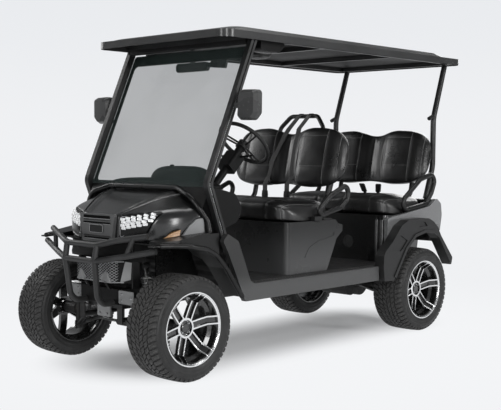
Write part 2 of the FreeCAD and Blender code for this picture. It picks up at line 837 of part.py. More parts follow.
def front_seat_box():
    body = new_body("front_seat_box_body")
    side = [(S.pod_front, S.floor_top), (S.pod_rear_bottom, S.floor_top), (S.pod_rear_top - 60, 700),
            (S.pod_rear_top, 745), (S.pod_rear_top, box_top), (S.pod_front, box_top)]
    pad(body, "box", "X", side, -S.pod_half_width, S.pod_half_width)
    round_edges(body, "front_corners", 40,
                lambda e: along_edge(e, V(0, 0, 1)) and e.CenterOfMass.y < number(S.pod_front) + 1)
    wall = S.pod_wall
    inside = box(S.pod_front + wall + 40, S.pod_rear_bottom - wall, S.floor_top + wall, box_top + 1)
    cut(body, "hollow", "X", inside, -S.pod_half_width + wall, S.pod_half_width - wall)
    # On each side a shallow curved sweep, and a step down behind the hip restraint
    deep = S.pod_wall / 2
    sweep = [(1013, 610, 30), (1058, 677, 60), (1167, 710, 200), (1335, 741), (1332, 718), (1172, 692, 200),
             (1085, 655, 60), (1045, 595)]
    step = [(1348, box_top + 1), (1372, 797), (S.pod_rear_top - 6, 786), (S.pod_rear_top + 1, 786),
            (S.pod_rear_top + 1, box_top + 1)]
    out = S.pod_half_width
    for name, shape, inner in (("sweep", sweep, out - deep), ("step", step, out - 85)):
        cut(body, name + "_left", "X", shape, inner, out + 1)
        cut(body, name + "_right", "X", shape, -out - 1, -inner)
    keep(body, "front_seat_box")


def battery_pack():
    block = doc.addObject("Part::Box", "battery_block")
    for side, size in (("Length", S.battery_half_width * 2), ("Width", S.battery_depth),
                       ("Height", S.battery_height)):
        block.setExpression(side, size.text)
    keep(block, "battery_pack", (-S.battery_half_width, front_axle_y + S.pod_front + 70,
                                 S.floor_top + S.pod_wall))


def rear_body():
    body = new_body("rear_body_body")
    low = S.floor_top - S.floor_thickness
    deck = S.rear_cushion_rear + S.fit_clearance
    side = [(S.rear_pod_front + S.fit_clearance, low), (2500, low), (2545, 700, 60), (2545, 880, 40),
            (2520, deck_height, 20), (deck, deck_height), (deck, box_top),
            (S.rear_pod_front + S.fit_clearance, box_top)]
    pad(body, "box", "X", side, -S.pod_half_width, S.pod_half_width)
    round_edges(body, "front_corners", 36,
                lambda e: along_edge(e, V(0, 0, 1)) and e.CenterOfMass.y < number(S.rear_pod_front) + 1)
    front = S.rear_pod_front + S.fit_clearance
    for name, sign in (("left", 1), ("right", -1)):
        cut(body, name + "_speaker", "Y", circle(203 * sign, 625, 45), front - 1, front + 10)
        for i, x in enumerate((448, 474)):
            groove = box(x * sign - 2, x * sign + 2, front - 1, front + 5)
            cut(body, f"{name}_groove_{i}", "Z", groove, 600, box_top + 1)
    arch = [(S.wheelbase - S.arch_radius, low - 1), (S.wheelbase - 250, 690, 60),
            (S.wheelbase - 150, 765, 100), (S.wheelbase + 150, 765, 100), (S.wheelbase + 250, 690, 60),
            (S.wheelbase + S.arch_radius, low - 1)]
    tread_plate = box(-S.deck_panel_half_width, S.deck_panel_half_width, deck + 8, 2498)
    pad(body, "deck_panel", "Z", tread_plate, deck_height, deck_height + S.deck_panel_rise)
    tyre_inner = S.wheel_offset - S.tyre_width / 2 - 15
    cut(body, "arch_left", "X", arch, tyre_inner, S.pod_half_width + 1)
    cut(body, "arch_right", "X", arch, -S.pod_half_width - 1, -tyre_inner)
    for side_name, sign in (("left", 1), ("right", -1)):
        middle = S.tail_lamp_offset * sign
        room = S.tail_lamp_half_width + S.fit_clearance
        recess = box(middle - room, middle + room, 720 - S.fit_clearance, 860 + S.fit_clearance)
        cut(body, f"{side_name}_lamp_recess", "Y", recess, 2530, 2560)
    keep(body, "rear_body")


def tail_lamps():
    body = new_body("tail_lamp_body")
    middle = S.tail_lamp_offset
    half = S.tail_lamp_half_width
    pad(body, "lens", "Y", box(middle - half, middle + half, 720, 860), 2530, 2550)
    both_sides("tail_lamps", body)


def side_panels():
    body = new_body("side_panel_body")
    side = [(1880, 590), (1930, 615), (2040, 715), (2090, 770, 30), (2160, 785), (2365, 785, 40),
            (2490, 730), (2530, 690), (2553, 800, 60), (2540, 885, 20), (2482, 924, 20),
            (S.panel_knee_y, S.panel_knee_height, 40), (S.panel_front_y, S.panel_front_height),
            (1880, S.panel_front_height - 9, 20)]
    pad(body, "panel", "X", side, S.pod_half_width + S.fit_clearance, S.cabin_half_width)
    both_sides("rear_side_panels", body)


def front_fenders():
    """A skin swept in plan towards the guard, with a rolled lip, a shoulder under the cowl and a liner."""
    body = new_body("front_fender_body")
    edge = S.fender_outer - S.fender_lip_radius
    inner = S.cowl_half_width - 45
    lip_route = [(-15, 744), (105, 723), (176, 688), (260, 603), (388, 430)]
    pad(body, "skin", "X", band([(-190, 742)] + lip_route, S.fender_skin, 80), inner, edge)
    sweep = [(512, -165), (edge, -15), (700, -15), (700, -320), (512, -320)]
    cut(body, "skin_sweep", "Z", sweep, 300, 900)
    top = fender_seat()
    shoulder = [(-120, 742), (20, 742), (165, 700), (210, 665), (262, 640), (262, 796), (190.5, 796)]
    shoulder += [(y, z - S.fit_clearance) for y, z in reversed(top)]
    inside = S.cowl_cut_offset + S.fit_clearance
    pad(body, "shoulder", "X", shoulder, inside, S.cabin_half_width)
    shoulder_sweep = [(455, -165), (S.cabin_half_width + 1, -40), (700, -40), (700, -320), (455, -320)]
    cut(body, "shoulder_sweep", "Z", shoulder_sweep, 752, 900)
    liner = [(-110, 482), (-60, 482), (-60, 664), (60, 664), (60, 482), (404, 482), (300, 740), (-110, 740)]
    pad(body, "liner", "X", liner, S.liner_inner, S.liner_inner + S.fender_skin)
    pad(body, "liner_top", "Z", box(S.liner_inner, inner + 10, -110, 150), 738, 745)
    lip = doc.addObject("Part::Feature", "front_fender_lip")
    path = [(522, -148, 743), (560, -90, 744)] + [(edge, y, z - 2) for y, z in lip_route]
    lip.Shape = tube(path, S.fender_lip_radius, 90)
    whole = doc.addObject("Part::MultiFuse", "front_fender_whole")
    whole.Shapes = [body, lip]
    both_sides("front_fenders", whole)


def rear_fenders():
    """A broad moulded flare over the wheel with a scoop, a vent and a rolled edge round the arch."""
    body = new_body("rear_fender_body")
    inner = S.cabin_half_width + S.fit_clearance
    outer = S.fender_outer - 4
    arch = [(1856, 386), (1876, 401), (2015, 585, 60), (2121, 668, 80), (2232, 692, 80), (2346, 686, 40),
            (2405, 642, 40), (2562, 443)]
    rim_line = [(2580, 443, 8), (2594, 493, 15), (2440, 659), (2403, 712, 40), (2344, 766, 40),
                (2275, 792, 60), (2031, 790, 60), (1947, 755, 40), (1844, 651, 60), (1765, 592, 30),
                (1746, 560, 15), (1742, 480), (1756, 392)]
    pad(body, "flare", "X", arch + rim_line, inner, outer)
    scoop = [(1938, 691), (2019, 650), (1940, 580), (1842, 596)]
    vent = [(2130, 773), (2232, 768), (2262, 738), (2160, 738)]
    cut(body, "scoop", "X", scoop, outer - 7, outer + 1)
    cut(body, "vent", "X", vent, outer - 7, outer + 1)
    lift = number(S.rear_flare_lip) / 2
    lip_route = [(1880 - lift, 410), (2015 - lift, 585 + lift), (2121 - lift, 668 + lift), (2232, 692 + lift),
                 (2346, 686 + lift), (2405 + lift, 642 + lift), (2560, 466)]
    pad(body, "rolled_edge", "X", band(lip_route, S.rear_flare_lip), outer - 1, S.fender_outer + 3)
    both_sides("rear_fenders", body)


# Front body: cowl, grille, lamps and guard

def cowl_section(low, half, shoulder, crease, ridge, middle, bend):
    """The cowl's outline across the cart: sides, raised crease lines and the panel between them."""
    return [(-half, low), (half, low), (half + 8, shoulder, bend), (crease, ridge, 10),
            (crease - 34, middle, 20), (34 - crease, middle, 20), (-crease, ridge, 10),
            (-half - 8, shoulder, bend)]


def fender_seat():
    """The line along which the cowl's side ends on the black fender, seen from the side."""
    return [(-120, 762), (-20, 774), (92, 793), (190, 802)]


def lamp_outline(gap):
    """A headlamp's face, grown by a gap all round."""
    return [(172 - gap, 752 - gap), (325 + gap, 778 - gap), (393 + gap, 916 + gap), (172 - gap, 893 + gap)]


def marker_outline(gap):
    """A turn marker's face seen from the side, grown by a gap all round."""
    return [(-26 - gap, 774 - gap), (44 + gap, 788 - gap), (48 + gap, 820 + gap), (10 - gap, 804 + gap)]


def wedge_outline(gap):
    """The grey trim between the marker and the hoop seen from the side, grown by a gap all round."""
    return [(58 - gap, 780 - gap), (98 - gap, 843 + gap), (138 - gap, 876 + gap), (176 + gap, 882 + gap),
            (190 + gap, 780 - gap)]


def front_body():
    """The cowl is cut away for the lamps, trims and hoop; those pieces keep its outer surface."""
    low = S.cowl_bottom
    blank = new_body("cowl_blank")
    loft(blank, "cowl", "Y", [
        (S.grille_front + 4, cowl_section(low, 170, 880, 130, 900, 889, 20)),
        (-40, cowl_section(low, 400, 905, 187, 950, 937, 60)),
        (80, cowl_section(low, 480, 925, 237, 1004, 991, 90)),
        (195, cowl_section(low, S.cowl_half_width, 930, 282, 1038, 1029, 90))])
    seat = fender_seat()
    below = [(seat[0][0] - 60, low - 1), (seat[0][0] - 60, seat[0][1])] + seat
    below += [(200, seat[-1][1]), (200, low - 1)]
    cut(blank, "fender_seat_left", "X", below, S.cowl_cut_offset, S.fender_outer)
    cut(blank, "fender_seat_right", "X", below, -S.fender_outer, -S.cowl_cut_offset)
    lamp_back = S.grille_front + 130
    trim_in = S.cowl_half_width - 105
    forms = {}
    for use, gap in (("room", S.fit_clearance), ("lens", Length.of(0))):
        lamp = new_body(f"headlamp_{use}")
        pad(lamp, f"headlamp_{use}_pad", "Y", lamp_outline(gap), -200, lamp_back + gap)
        forms[use] = [lamp]
        for name, outline in (("marker", marker_outline(gap)), ("wedge", wedge_outline(gap))):
            trim = new_body(f"{name}_{use}")
            pad(trim, f"{name}_{use}_pad", "X", outline, trim_in - gap, S.fender_outer)
            forms[use].append(trim)
    hoop_room = doc.addObject("Part::Feature", "hoop_room")
    hoop_room.Shape = tube(hoop_route(), S.hoop_tube_radius + S.fit_clearance, 90)
    tools = [hoop_room]
    for form in forms["room"]:
        other = doc.addObject("Part::Mirroring", form.Name + "_mirror")
        other.Source = form
        other.Normal = V(1, 0, 0)
        tools += [form, other]
    cutter = doc.addObject("Part::Compound", "cowl_cutters")
    cutter.Links = tools
    cowl = doc.addObject("Part::Cut", "cowl_cut")
    cowl.Base = blank
    cowl.Tool = cutter
    keep(cowl, "front_cowl")
    for form, label in zip(forms["lens"], ("headlamps", "turn_markers", "cowl_side_trims")):
        lens = doc.addObject("Part::Common", label + "_form")
        lens.Base = blank
        lens.Tool = form
        if label == "cowl_side_trims":
            trimmed = doc.addObject("Part::Cut", label + "_cut")
            trimmed.Base = lens
            trimmed.Tool = hoop_room
            lens = trimmed
        both_sides(label, lens)


def grille():
    body = new_body("grille_body")
    half = S.grille_half_width
    plate = [(-half + 22, S.grille_bottom, 12), (half - 22, S.grille_bottom, 12),
             (half, S.grille_top, 10), (-half, S.grille_top, 10)]
    back = S.grille_front + 4 - S.fit_clearance
    pad(body, "plate", "Y", plate, S.grille_front - 18, back)
    for i, z in enumerate((768, 858, 876)):
        slot = box(-half + 32, half - 32, z, z + 8)
        cut(body, f"slot_{i}", "Y", slot, S.grille_front - 19, S.grille_front - 4)
    badge = box(-58, 58, 800, 842, 6)
    pad(body, "badge_plate", "Y", badge, S.grille_front - 21, S.grille_front - 17)
    keep(body, "grille")


def hoop_route():
    """The tube that wraps over the cowl's rear edge and runs down both its sides."""
    y = S.hoop_y
    left = [(300, y, 1045), (440, y - 34, 1003), (500, y - 18, 938), (526, y + 25, 865), (534, y + 32, 800)]
    return mirrored(left)[::-1] + left


def cowl_hoop():
    shape_feature("cowl_hoop", [tube(hoop_route(), S.hoop_tube_radius, 90)])


def brush_guard():
    radius = S.guard_tube_radius
    post = S.guard_post_offset
    nose = radius - S.front_overhang
    top = [(post, nose + 15, 733), (250, nose + 53, 762), (431, nose + 129, 792)]
    low = [(post - 3, nose, 645), (260, nose + 43, 668), (496, nose + 132, 715)]
    shapes = []
    for run in (top, low):
        shapes.append(tube(mirrored(run)[::-1] + run, radius, 120))
    for sign in (1, -1):
        post_run = [(post * sign, nose + 15, 733), ((post - 3) * sign, nose, 645),
                    ((post - 12) * sign, nose + 26, 440), ((post - 12) * sign, nose + 63, 398),
                    ((post - 12) * sign, S.beam_front - S.fit_clearance, 398)]
        shapes.append(tube(post_run, radius, 60))
        shapes.append(rod((355 * sign, nose + 91, 778), (323 * sign, nose + 70, 684), radius * 0.8))
    shape_feature("brush_guard", shapes)


def front_valance():
    """The mesh panel with its swept wings behind the guard, on brackets from the beam below."""
    body = new_body("front_valance_body")
    half = S.mesh_half_width
    front = S.mesh_front
    wings = [(-half - 85, front + 90), (-half, front + 4), (half, front + 4), (half + 85, front + 90)]
    pad(body, "panel", "Z", band(wings, 8), S.mesh_bottom, S.mesh_top)
    back = S.frame_front - S.fit_clearance
    middle = S.beam_front + S.beam_plate_thickness
    wide = S.beam_half_width
    thin = -137
    beam = [(-half, back), (half, back), (half, thin), (wide, thin), (wide, middle), (half + 18, middle),
            (half + 18, S.beam_front), (-half - 18, S.beam_front), (-half - 18, middle), (-wide, middle),
            (-wide, thin), (-half, thin)]
    pad(body, "beam", "Z", beam, S.beam_bottom, S.beam_top)
    low, high = S.beam_top - 8, S.mesh_bottom + 6
    bracket = [(S.beam_front, low), (S.beam_front + 25, low), (front + 24, high), (front + 2, high)]
    for name, sign in (("left", 1), ("right", -1)):
        pad(body, name + "_bracket", "X", bracket, 90 * sign - 10, 90 * sign + 10)
    keep(body, "front_valance")


def beam_end_plates():
    body = new_body("beam_end_plate_body")
    plate = box(S.mesh_half_width + 22, S.beam_half_width, S.beam_bottom + 8, S.beam_top - 4, 8)
    pad(body, "plate", "Y", plate, S.beam_front, S.beam_front + S.beam_plate_thickness - S.fit_clearance)
    both_sides("beam_end_plates", body)


def tow_plate():
    body = new_body("tow_plate_body")
    half = S.tow_plate_half_width
    plate = box(-half, half, S.tow_hole_height - 20, S.rail_bottom + 30, 8)
    pad(body, "plate", "Y", plate, S.frame_front - S.tow_plate_thickness, S.frame_front)
    for name, sign in (("left", 1), ("right", -1)):
        hole = circle(S.tow_hole_offset * sign, S.tow_hole_height, S.tow_hole_radius)
        cut(body, name + "_hole", "Y", hole, S.frame_front - S.tow_plate_thickness - 1, S.frame_front + 1)
    keep(body, "tow_plate")


# Dashboard, steering and pedals

def steering_axis():
    """The column's foot in the dashboard, its direction towards the driver, and the wheel's centre."""
    tilt = math.radians(number(S.column_tilt))
    pivot = V(*map(number, (S.steering_offset, S.column_pivot_y, S.column_pivot_height)))
    axis = V(0, math.sin(tilt), math.cos(tilt))
    return pivot, axis, pivot + axis * number(S.column_length)


def dashboard():
    """The shelf under the screen, with a hole where the steering column goes through."""
    body = new_body("dashboard_body")
    front = S.dash_front
    side = [(front, 800), (front, 1025), (300, 1045, 40), (450, 1010, 40), (500, 930, 40), (470, 850, 40),
            (330, 800)]
    pad(body, "shelf", "X", side, -S.dash_half_width, S.dash_half_width)
    pivot, axis, centre = steering_axis()
    hole = doc.addObject("Part::Cylinder", "column_hole")
    hole.setExpression("Radius", (S.column_radius + S.fit_clearance).text)
    hole.setExpression("Height", (S.column_length + S.column_end).text)
    up = FreeCAD.Rotation(V(0, 0, 1), axis)
    hole.Placement = FreeCAD.Placement(pivot - axis * number(S.column_end + S.fit_clearance), up)
    shelf = doc.addObject("Part::Cut", "dashboard_cut")
    shelf.Base = body
    shelf.Tool = hole
    keep(shelf, "dashboard")


def steering_column():
    pivot, axis, centre = steering_axis()
    length = number(S.column_length - S.column_drop + S.column_end)
    column = Part.makeCylinder(number(S.column_radius), length, pivot - axis * number(S.column_end), axis)
    side = V(1, 0, 0)
    width, height, depth = (number(v) for v in (S.column_pod_width, S.column_pod_height, S.column_pod_length))
    pod = Part.makeBox(width, height, depth, V(-width / 2, -height / 2, 0))
    pod = pod.makeFillet(16, [e for e in pod.Edges if along_edge(e, V(0, 0, 1))])
    foot = centre - axis * (number(S.column_pod_drop) + depth)
    pod.Placement = FreeCAD.Placement(foot, FreeCAD.Rotation(side, axis.cross(side), axis))
    stalk_root = foot + axis * (depth - 22)
    stalks = [rod(stalk_root, stalk_root + side * (150 * sign) + axis * 20, 6) for sign in (1, -1)]
    shape_feature("steering_column", [column, pod] + stalks)


def steering_wheel():
    """Rim, hub and three double spokes, modelled flat and then tilted towards the driver."""
    hub_height = S.column_drop - S.fit_clearance
    ring = Part.makeTorus(number(S.steering_wheel_radius), number(S.steering_rim_radius))
    hub = Part.makeCylinder(34, number(hub_height), V(0, 0, -number(hub_height)))
    spokes = []
    for turn in (90, 210, 330):
        for side in (-1, 1):
            foot = V(24, 13 * side, -20)
            bar = rod(foot, V(number(S.steering_wheel_radius), 20 * side, 0), 6)
            bar.rotate(V(0, 0, 0), V(0, 0, 1), turn)
            spokes.append(bar)
    wheel = doc.addObject("Part::Feature", "steering_wheel_form")
    wheel.Shape = ring.multiFuse([hub] + spokes).removeSplitter()
    centre = steering_axis()[2]
    keep(wheel, "steering_wheel", (centre.x, front_axle_y + centre.y, centre.z), V(-1, 0, 0), S.column_tilt)


def pedals():
    """Brake and accelerator plates on short stems that stand square to the toe board."""
    low = V(0, number(S.floor_front + 25), number(S.floor_top))
    high = V(0, number(S.toe_top_y + 25), number(S.toe_top_height))
    up = (high - low).normalize()
    out = V(0, up.z, -up.y)
    shapes = []
    for x in (330, 210):
        seat = low + up * 130 + V(x, 0, 0)
        stem = Part.makeCylinder(9, 40, seat + out * number(S.fit_clearance), out)
        plate = Part.makeBox(80, 110, 10, V(-40, -55, 0))
        plate.Placement = FreeCAD.Placement(seat + out * 36, FreeCAD.Rotation(V(1, 0, 0), up, out))
        shapes.append(plate.fuse(stem))
    shape_feature("pedals", shapes, fuse=False)


# Windscreen, struts and roof

def windscreen():
    at = (0, front_axle_y + S.screen_base_y, S.screen_base_height)
    body = new_body("windscreen_body")
    half = between_struts
    pad(body, "glass", "Y", box(-half, half, 0, S.screen_height, 20), 0, S.screen_thickness)
    keep(body, "windscreen", at, V(-1, 0, 0), S.screen_rake)
    trim = new_body("screen_trim_body")
    inner = half - S.screen_band
    near = S.screen_thickness + S.fit_clearance
    far = near + S.screen_trim_thickness
    pad(trim, "trim", "Y", box(-half, half, 0, S.screen_height, 20), near, far)
    cut(trim, "window", "Y", box(-inner, inner, S.screen_band, S.screen_height - 70, 30), near - 1, far + 1)
    keep(trim, "screen_trim", at, V(-1, 0, 0), S.screen_rake)


def front_struts():
    body = new_body("front_strut_body")
    inner = S.strut_outer - S.strut_thickness
    route = [(330, 705), (186, 1072), (553, roof_underside - 14)]
    pad(body, "strut", "X", band(route, S.strut_depth, 60), inner, S.strut_outer)
    cut(body, "groove", "X", band(route, S.strut_depth / 4, 60), S.strut_outer - 6, S.strut_outer + 1)
    both_sides("front_struts", body)


def rear_struts():
    """Bent tubes from the rear deck to the roof frame, with a short hook at the bend."""
    x = 455
    radius = 17
    foot_y = 2490
    bend_y = 2576
    bend_z = 1150
    lean = math.atan2(bend_y - foot_y, bend_z - number(deck_height))
    foot_z = deck_height + radius * math.sin(lean) + S.fit_clearance
    top = roof_underside - S.roof_frame_tube - 8
    shapes = []
    for sign in (1, -1):
        route = [(x * sign, foot_y, foot_z), (x * sign, bend_y, bend_z), (x * sign, 2578, 1505),
                 (x * sign, 2716, top)]
        hook = rod((x * sign, bend_y, 1525), (x * sign, 2519, 1502), 11)
        shapes.append(tube(route, radius, 200).fuse(hook))
    shape_feature("rear_struts", shapes, fuse=False)


def roof():
    """A flat moulding with an upright rim all round and a raised, bevelled crown."""
    body = new_body("roof_body")
    half = S.roof_half_width
    corner = S.roof_corner
    pad(body, "rim", "Z", box(-half, half, S.roof_front, rear_end, corner), S.roof_bottom, S.roof_rim_top)
    low = half - S.roof_crown_inset
    high = low - S.roof_crown_slope
    front = S.roof_crown_front
    rear = S.roof_crown_rear
    top_front = front + S.roof_crown_slope * 4
    top_rear = rear - S.roof_crown_slope * 3
    loft(body, "crown", "Z", [(S.roof_rim_top, box(-low, low, front, rear, corner)),
                              (S.roof_top, box(-high, high, top_front, top_rear, corner))])
    wall = S.roof_wall
    hollow = box(-half + wall, half - wall, S.roof_front + wall, rear_end - wall, corner - wall)
    cut(body, "underside", "Z", hollow, S.roof_bottom - 1, roof_underside)
    keep(body, "roof")


def roof_fittings():
    """The header that closes the gap above the screen, and a speaker under the roof on each side."""
    header = new_body("roof_header_body")
    top = roof_underside - S.fit_clearance - S.roof_frame_tube - S.fit_clearance
    half = between_struts - 2
    pad(header, "bar", "X", [(505, 1873, 8), (556, 1873, 8), (556, top), (505, top)], -half, half)
    keep(header, "roof_header")
    speaker = new_body("roof_speaker_body")
    case = [(640, top - 52, 18), (800, top - 58, 25), (850, top - 20, 14), (850, top), (640, top)]
    pad(speaker, "case", "X", case, half - 108, half - 4)
    both_sides("roof_speakers", speaker)


def roof_frame():
    """A ring of square tube under the roof, with cross tubes, that the struts hold."""
    body = new_body("roof_frame_body")
    half = between_struts
    side = S.roof_frame_tube
    high = roof_underside - S.fit_clearance
    front = S.roof_frame_front
    rear = S.roof_frame_rear
    pad(body, "ring", "Z", box(-half, half, front, rear), high - side, high)
    bays = 3
    pitch = (rear - front - side) / bays
    for bay in range(bays):
        near = front + side + pitch * bay
        cut(body, f"bay_{bay}", "Z", box(-half + side, half - side, near, near + pitch - side),
            high - side - 1, high + 1)
    keep(body, "roof_frame")


def mirrors():
    body = new_body("mirror_body")
    head = [(578, 1432, 24), (690, 1430, 36), (727, 1468, 30), (728, 1600, 26), (590, 1604, 26)]
    cap = [(590, 1446, 18), (684, 1444, 26), (713, 1474, 22), (714, 1588, 18), (602, 1590, 18)]
    loft(body, "cap", "Y", [(366, cap), (392, head)])
    pad(body, "head", "Y", head, 392, 424)
    pad(body, "arm", "Y", box(S.strut_outer + S.fit_clearance, 596, 1500, 1530), 375, 400)
    both_sides("side_mirrors", body)
    inside = new_body("inside_mirror_body")
    pad(inside, "head", "Y", box(-140, 140, 1745, 1800, 22), 565, 590)
    pad(inside, "stem", "Y", box(-12, 12, 1790, roof_underside - S.fit_clearance), 567, 587)
    bracket = [(120, 1768), (290, 1752, 12), (318, 1862, 8), (262, 1862)]
    pad(inside, "bracket", "Y", bracket, 570, 585)
    keep(inside, "inside_mirror")


# Seats

def cushion(label, front, rear):
    body = new_body(label + "_body")
    top = S.seat_bottom + S.cushion_thickness
    side = [(front, S.seat_bottom), (rear, S.seat_bottom), (rear, top - 25, 20), (front + 120, top - 20, 100),
            (front + 10, top, 40)]
    pad(body, "foam", "X", side, -S.seat_half_width, S.seat_half_width)
    keep(body, label)


def seat_back(label, y):
    body = new_body(label + "_body")
    half = S.seat_half_width
    height = S.back_height
    front_view = [(-half + 30, 0, 70), (-60, 0, 40), (0, 30, 60), (60, 0, 40), (half - 30, 0, 70),
                  (half, height * 0.55, 80), (half - 45, height, 90), (80, height, 90), (0, height - 60, 60),
                  (-80, height, 90), (45 - half, height, 90), (-half, height * 0.55, 80)]
    pad(body, "foam", "Y", front_view, 0, S.back_thickness)
    keep(body, label, (0, front_axle_y + y, S.back_bottom), V(-1, 0, 0), S.back_recline)


def behind_back(x, y, depth, height):
    """A point in the seat back's leaning frame: depth behind its front face, height above its foot."""
    lean = math.radians(number(S.back_recline))
    return (x, y + depth * math.cos(lean) + height * math.sin(lean),
            S.back_bottom - depth * math.sin(lean) + height * math.cos(lean))


def seat_frames():
    """Tubes that rise from each seat box and carry the seat backs; the front ones end in a grab frame."""
    radius = S.grab_tube_radius
    depth = S.back_thickness + radius + S.fit_clearance
    shapes = []
    for y, foot_y, seat_z in ((S.front_back_y, S.pod_rear_top - 24, box_top),
                              (S.rear_back_y, S.rear_cushion_rear + 22, deck_height)):
        foot_z = seat_z + S.fit_clearance
        frame = [rod(behind_back(-420, y, depth, 250), behind_back(420, y, depth, 250), radius)]
        for x in (-330, 330):
            frame.append(tube([(x, foot_y, foot_z), (x, foot_y, foot_z + 30),
                               behind_back(x, y, depth, -60), behind_back(x, y, depth, 252)], radius, 60))
        if y is S.front_back_y:
            half = [(120, 1650, 1503), (192, 1622, 1425), behind_back(212, y, depth, 250)]
            frame.append(tube(mirrored(half)[::-1] + half, radius - 2, 50))
        shapes.append(frame[0].multiFuse(frame[1:]))
    shape_feature("seat_frames", shapes, fuse=False)


def hip_restraints():
    """Looped side rails at both ends of each seat; the front ones stand on a foot block."""
    radius = S.restraint_tube_radius
    rest = box_top + radius + S.fit_clearance
    slope = (S.panel_knee_height - S.panel_front_height) / (S.panel_knee_y - S.panel_front_y)
    lift = (radius + S.fit_clearance) * math.hypot(1, number(slope))

    def on_panel(y):
        return S.panel_front_height + slope * (y - S.panel_front_y) + lift

    shapes = []
    for sign in (1, -1):
        x = S.restraint_offset * sign
        front = [(x, 1105, rest), (x, 1390, 893), (x, 1462, 945), (x, 1478, 1000), (x, 1445, 1038),
                 (x, 1290, 975)]
        foot = Part.makeBox(26, 70, 28, V(number(x) - 13, 1118, number(box_top + S.fit_clearance)))
        shapes.append(tube(front, radius, 45, closed=True).fuse(foot))
        rear = [(x, 1965, on_panel(1965)), (x, S.panel_knee_y, on_panel(S.panel_knee_y)), (x, 2455, 962),
                (x, 2498, 1050), (x, 2455, 1098), (x, 2310, 1062)]
        shapes.append(tube(rear, radius, 45, closed=True))
    shape_feature("hip_restraints", shapes, fuse=False)


hub_back_x = S.wheel_offset + S.rim_width / 2 - S.hub_recess - S.hub_length
stub_end_x = hub_back_x + S.stub_length
arm_pivot_x = S.nose_rail_offset + S.rail_width / 2 + S.pivot_radius + S.fit_clearance
arm_pivot_half = S.arm_spread + 25
lower_pivot_z = S.rail_bottom - 60
upper_pivot_z = S.rail_bottom + 45
joint_reach = S.kingpin_height / 2 + S.joint_height / 2 + S.fit_clearance
lower_tip_z = S.tyre_radius - joint_reach
upper_tip_z = S.tyre_radius + joint_reach
arm_share = number((S.kingpin_offset - S.damper_foot_offset) / (S.kingpin_offset - arm_pivot_x))
damper_foot_z = lower_tip_z + (lower_pivot_z - lower_tip_z) * arm_share

chassis_frame()
wheels()
knuckle("knuckle_left", 1)
knuckle("knuckle_right", -1)
steering_rack()
rack_housing()
suspension_arms()
front_dampers()
rear_axle()
drive_motor()
leaf_springs()
floor()
sills()
front_seat_box()
battery_pack()
rear_body()
tail_lamps()
side_panels()
front_fenders()
rear_fenders()
front_body()
grille()
cowl_hoop()
brush_guard()
front_valance()
beam_end_plates()
tow_plate()
dashboard()
steering_column()
steering_wheel()
pedals()
windscreen()
front_struts()
rear_struts()
roof()
roof_frame()
roof_fittings()
mirrors()
cushion("front_seat_cushion", S.front_cushion_front, S.front_cushion_rear)
cushion("rear_seat_cushion", S.rear_cushion_front, S.rear_cushion_rear)
seat_back("front_seat_back", S.front_back_y)
seat_back("rear_seat_back", S.rear_back_y)
seat_frames()
hip_restraints()

doc.recompute()
for thing in doc.Objects:
    if {"Invalid", "Error"} & set(thing.State):
        raise RuntimeError(f"{thing.Label} failed: {thing.State}")
os.makedirs("parts", exist_ok=True)
for piece in pieces:
    shape = piece.Shape
    if shape.isNull() or not shape.isValid() or not shape.Solids:
        raise RuntimeError(f"{piece.Label} has no valid solid")
    shape.exportStep(f"parts/{piece.Label}.step")
print(len(pieces), "pieces written")
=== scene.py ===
import math

import bmesh
import bpy
import numpy as np
from mathutils import Matrix, Vector, noise
from mathutils.bvhtree import BVHTree


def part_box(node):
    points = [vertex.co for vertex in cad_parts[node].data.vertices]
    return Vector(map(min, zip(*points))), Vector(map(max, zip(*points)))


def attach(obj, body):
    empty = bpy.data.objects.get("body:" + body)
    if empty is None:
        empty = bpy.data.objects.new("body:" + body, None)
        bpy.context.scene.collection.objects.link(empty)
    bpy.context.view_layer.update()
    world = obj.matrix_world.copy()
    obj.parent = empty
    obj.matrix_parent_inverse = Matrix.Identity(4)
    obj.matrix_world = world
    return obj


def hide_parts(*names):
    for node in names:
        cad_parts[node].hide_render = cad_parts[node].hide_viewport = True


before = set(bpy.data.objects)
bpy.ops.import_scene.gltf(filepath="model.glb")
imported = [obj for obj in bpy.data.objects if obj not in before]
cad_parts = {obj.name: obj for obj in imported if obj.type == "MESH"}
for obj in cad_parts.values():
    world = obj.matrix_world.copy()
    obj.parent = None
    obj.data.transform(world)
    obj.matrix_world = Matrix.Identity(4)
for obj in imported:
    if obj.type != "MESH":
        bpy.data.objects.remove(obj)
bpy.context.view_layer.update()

# The studio: a photographer's camera at standing height off the cart's left front corner,
# a pale seamless floor that runs into a pale backdrop, and soft lamps overhead and to the sides.

scene = bpy.context.scene


def middle_of(node):
    """The middle of a CAD node's box."""
    low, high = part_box(node)
    return low.lerp(high, 0.5)


front_axle = middle_of("tyre_front_left").y
rear_axle = middle_of("tyre_rear_left").y

yaw, pitch, roll = (math.radians(angle) for angle in (43.4236, 3.0327, 0.291))
back = Vector((math.sin(yaw) * math.cos(pitch), -math.cos(yaw) * math.cos(pitch), math.sin(pitch)))
level = (-back).cross(Vector((0, 0, 1))).normalized()
upright = level.cross(-back)
across = math.cos(roll) * level + math.sin(roll) * upright
upward = -math.sin(roll) * level + math.cos(roll) * upright
lens = bpy.data.cameras.new("camera")
focal_pixels, frame_pixels, film_width = 982.396, 501, 36
lens.lens = focal_pixels * film_width / frame_pixels
lens.shift_x = 0.0021
lens.shift_y = -0.0009
camera = bpy.data.objects.new("camera", lens)
scene.collection.objects.link(camera)
stand = Vector((4.461, front_axle - 3.619, 1.2487))
camera.matrix_world = Matrix.Translation(stand) @ Matrix((across, upward, back)).transposed().to_4x4()
scene.camera = camera
scene.view_settings.view_transform = "Standard"


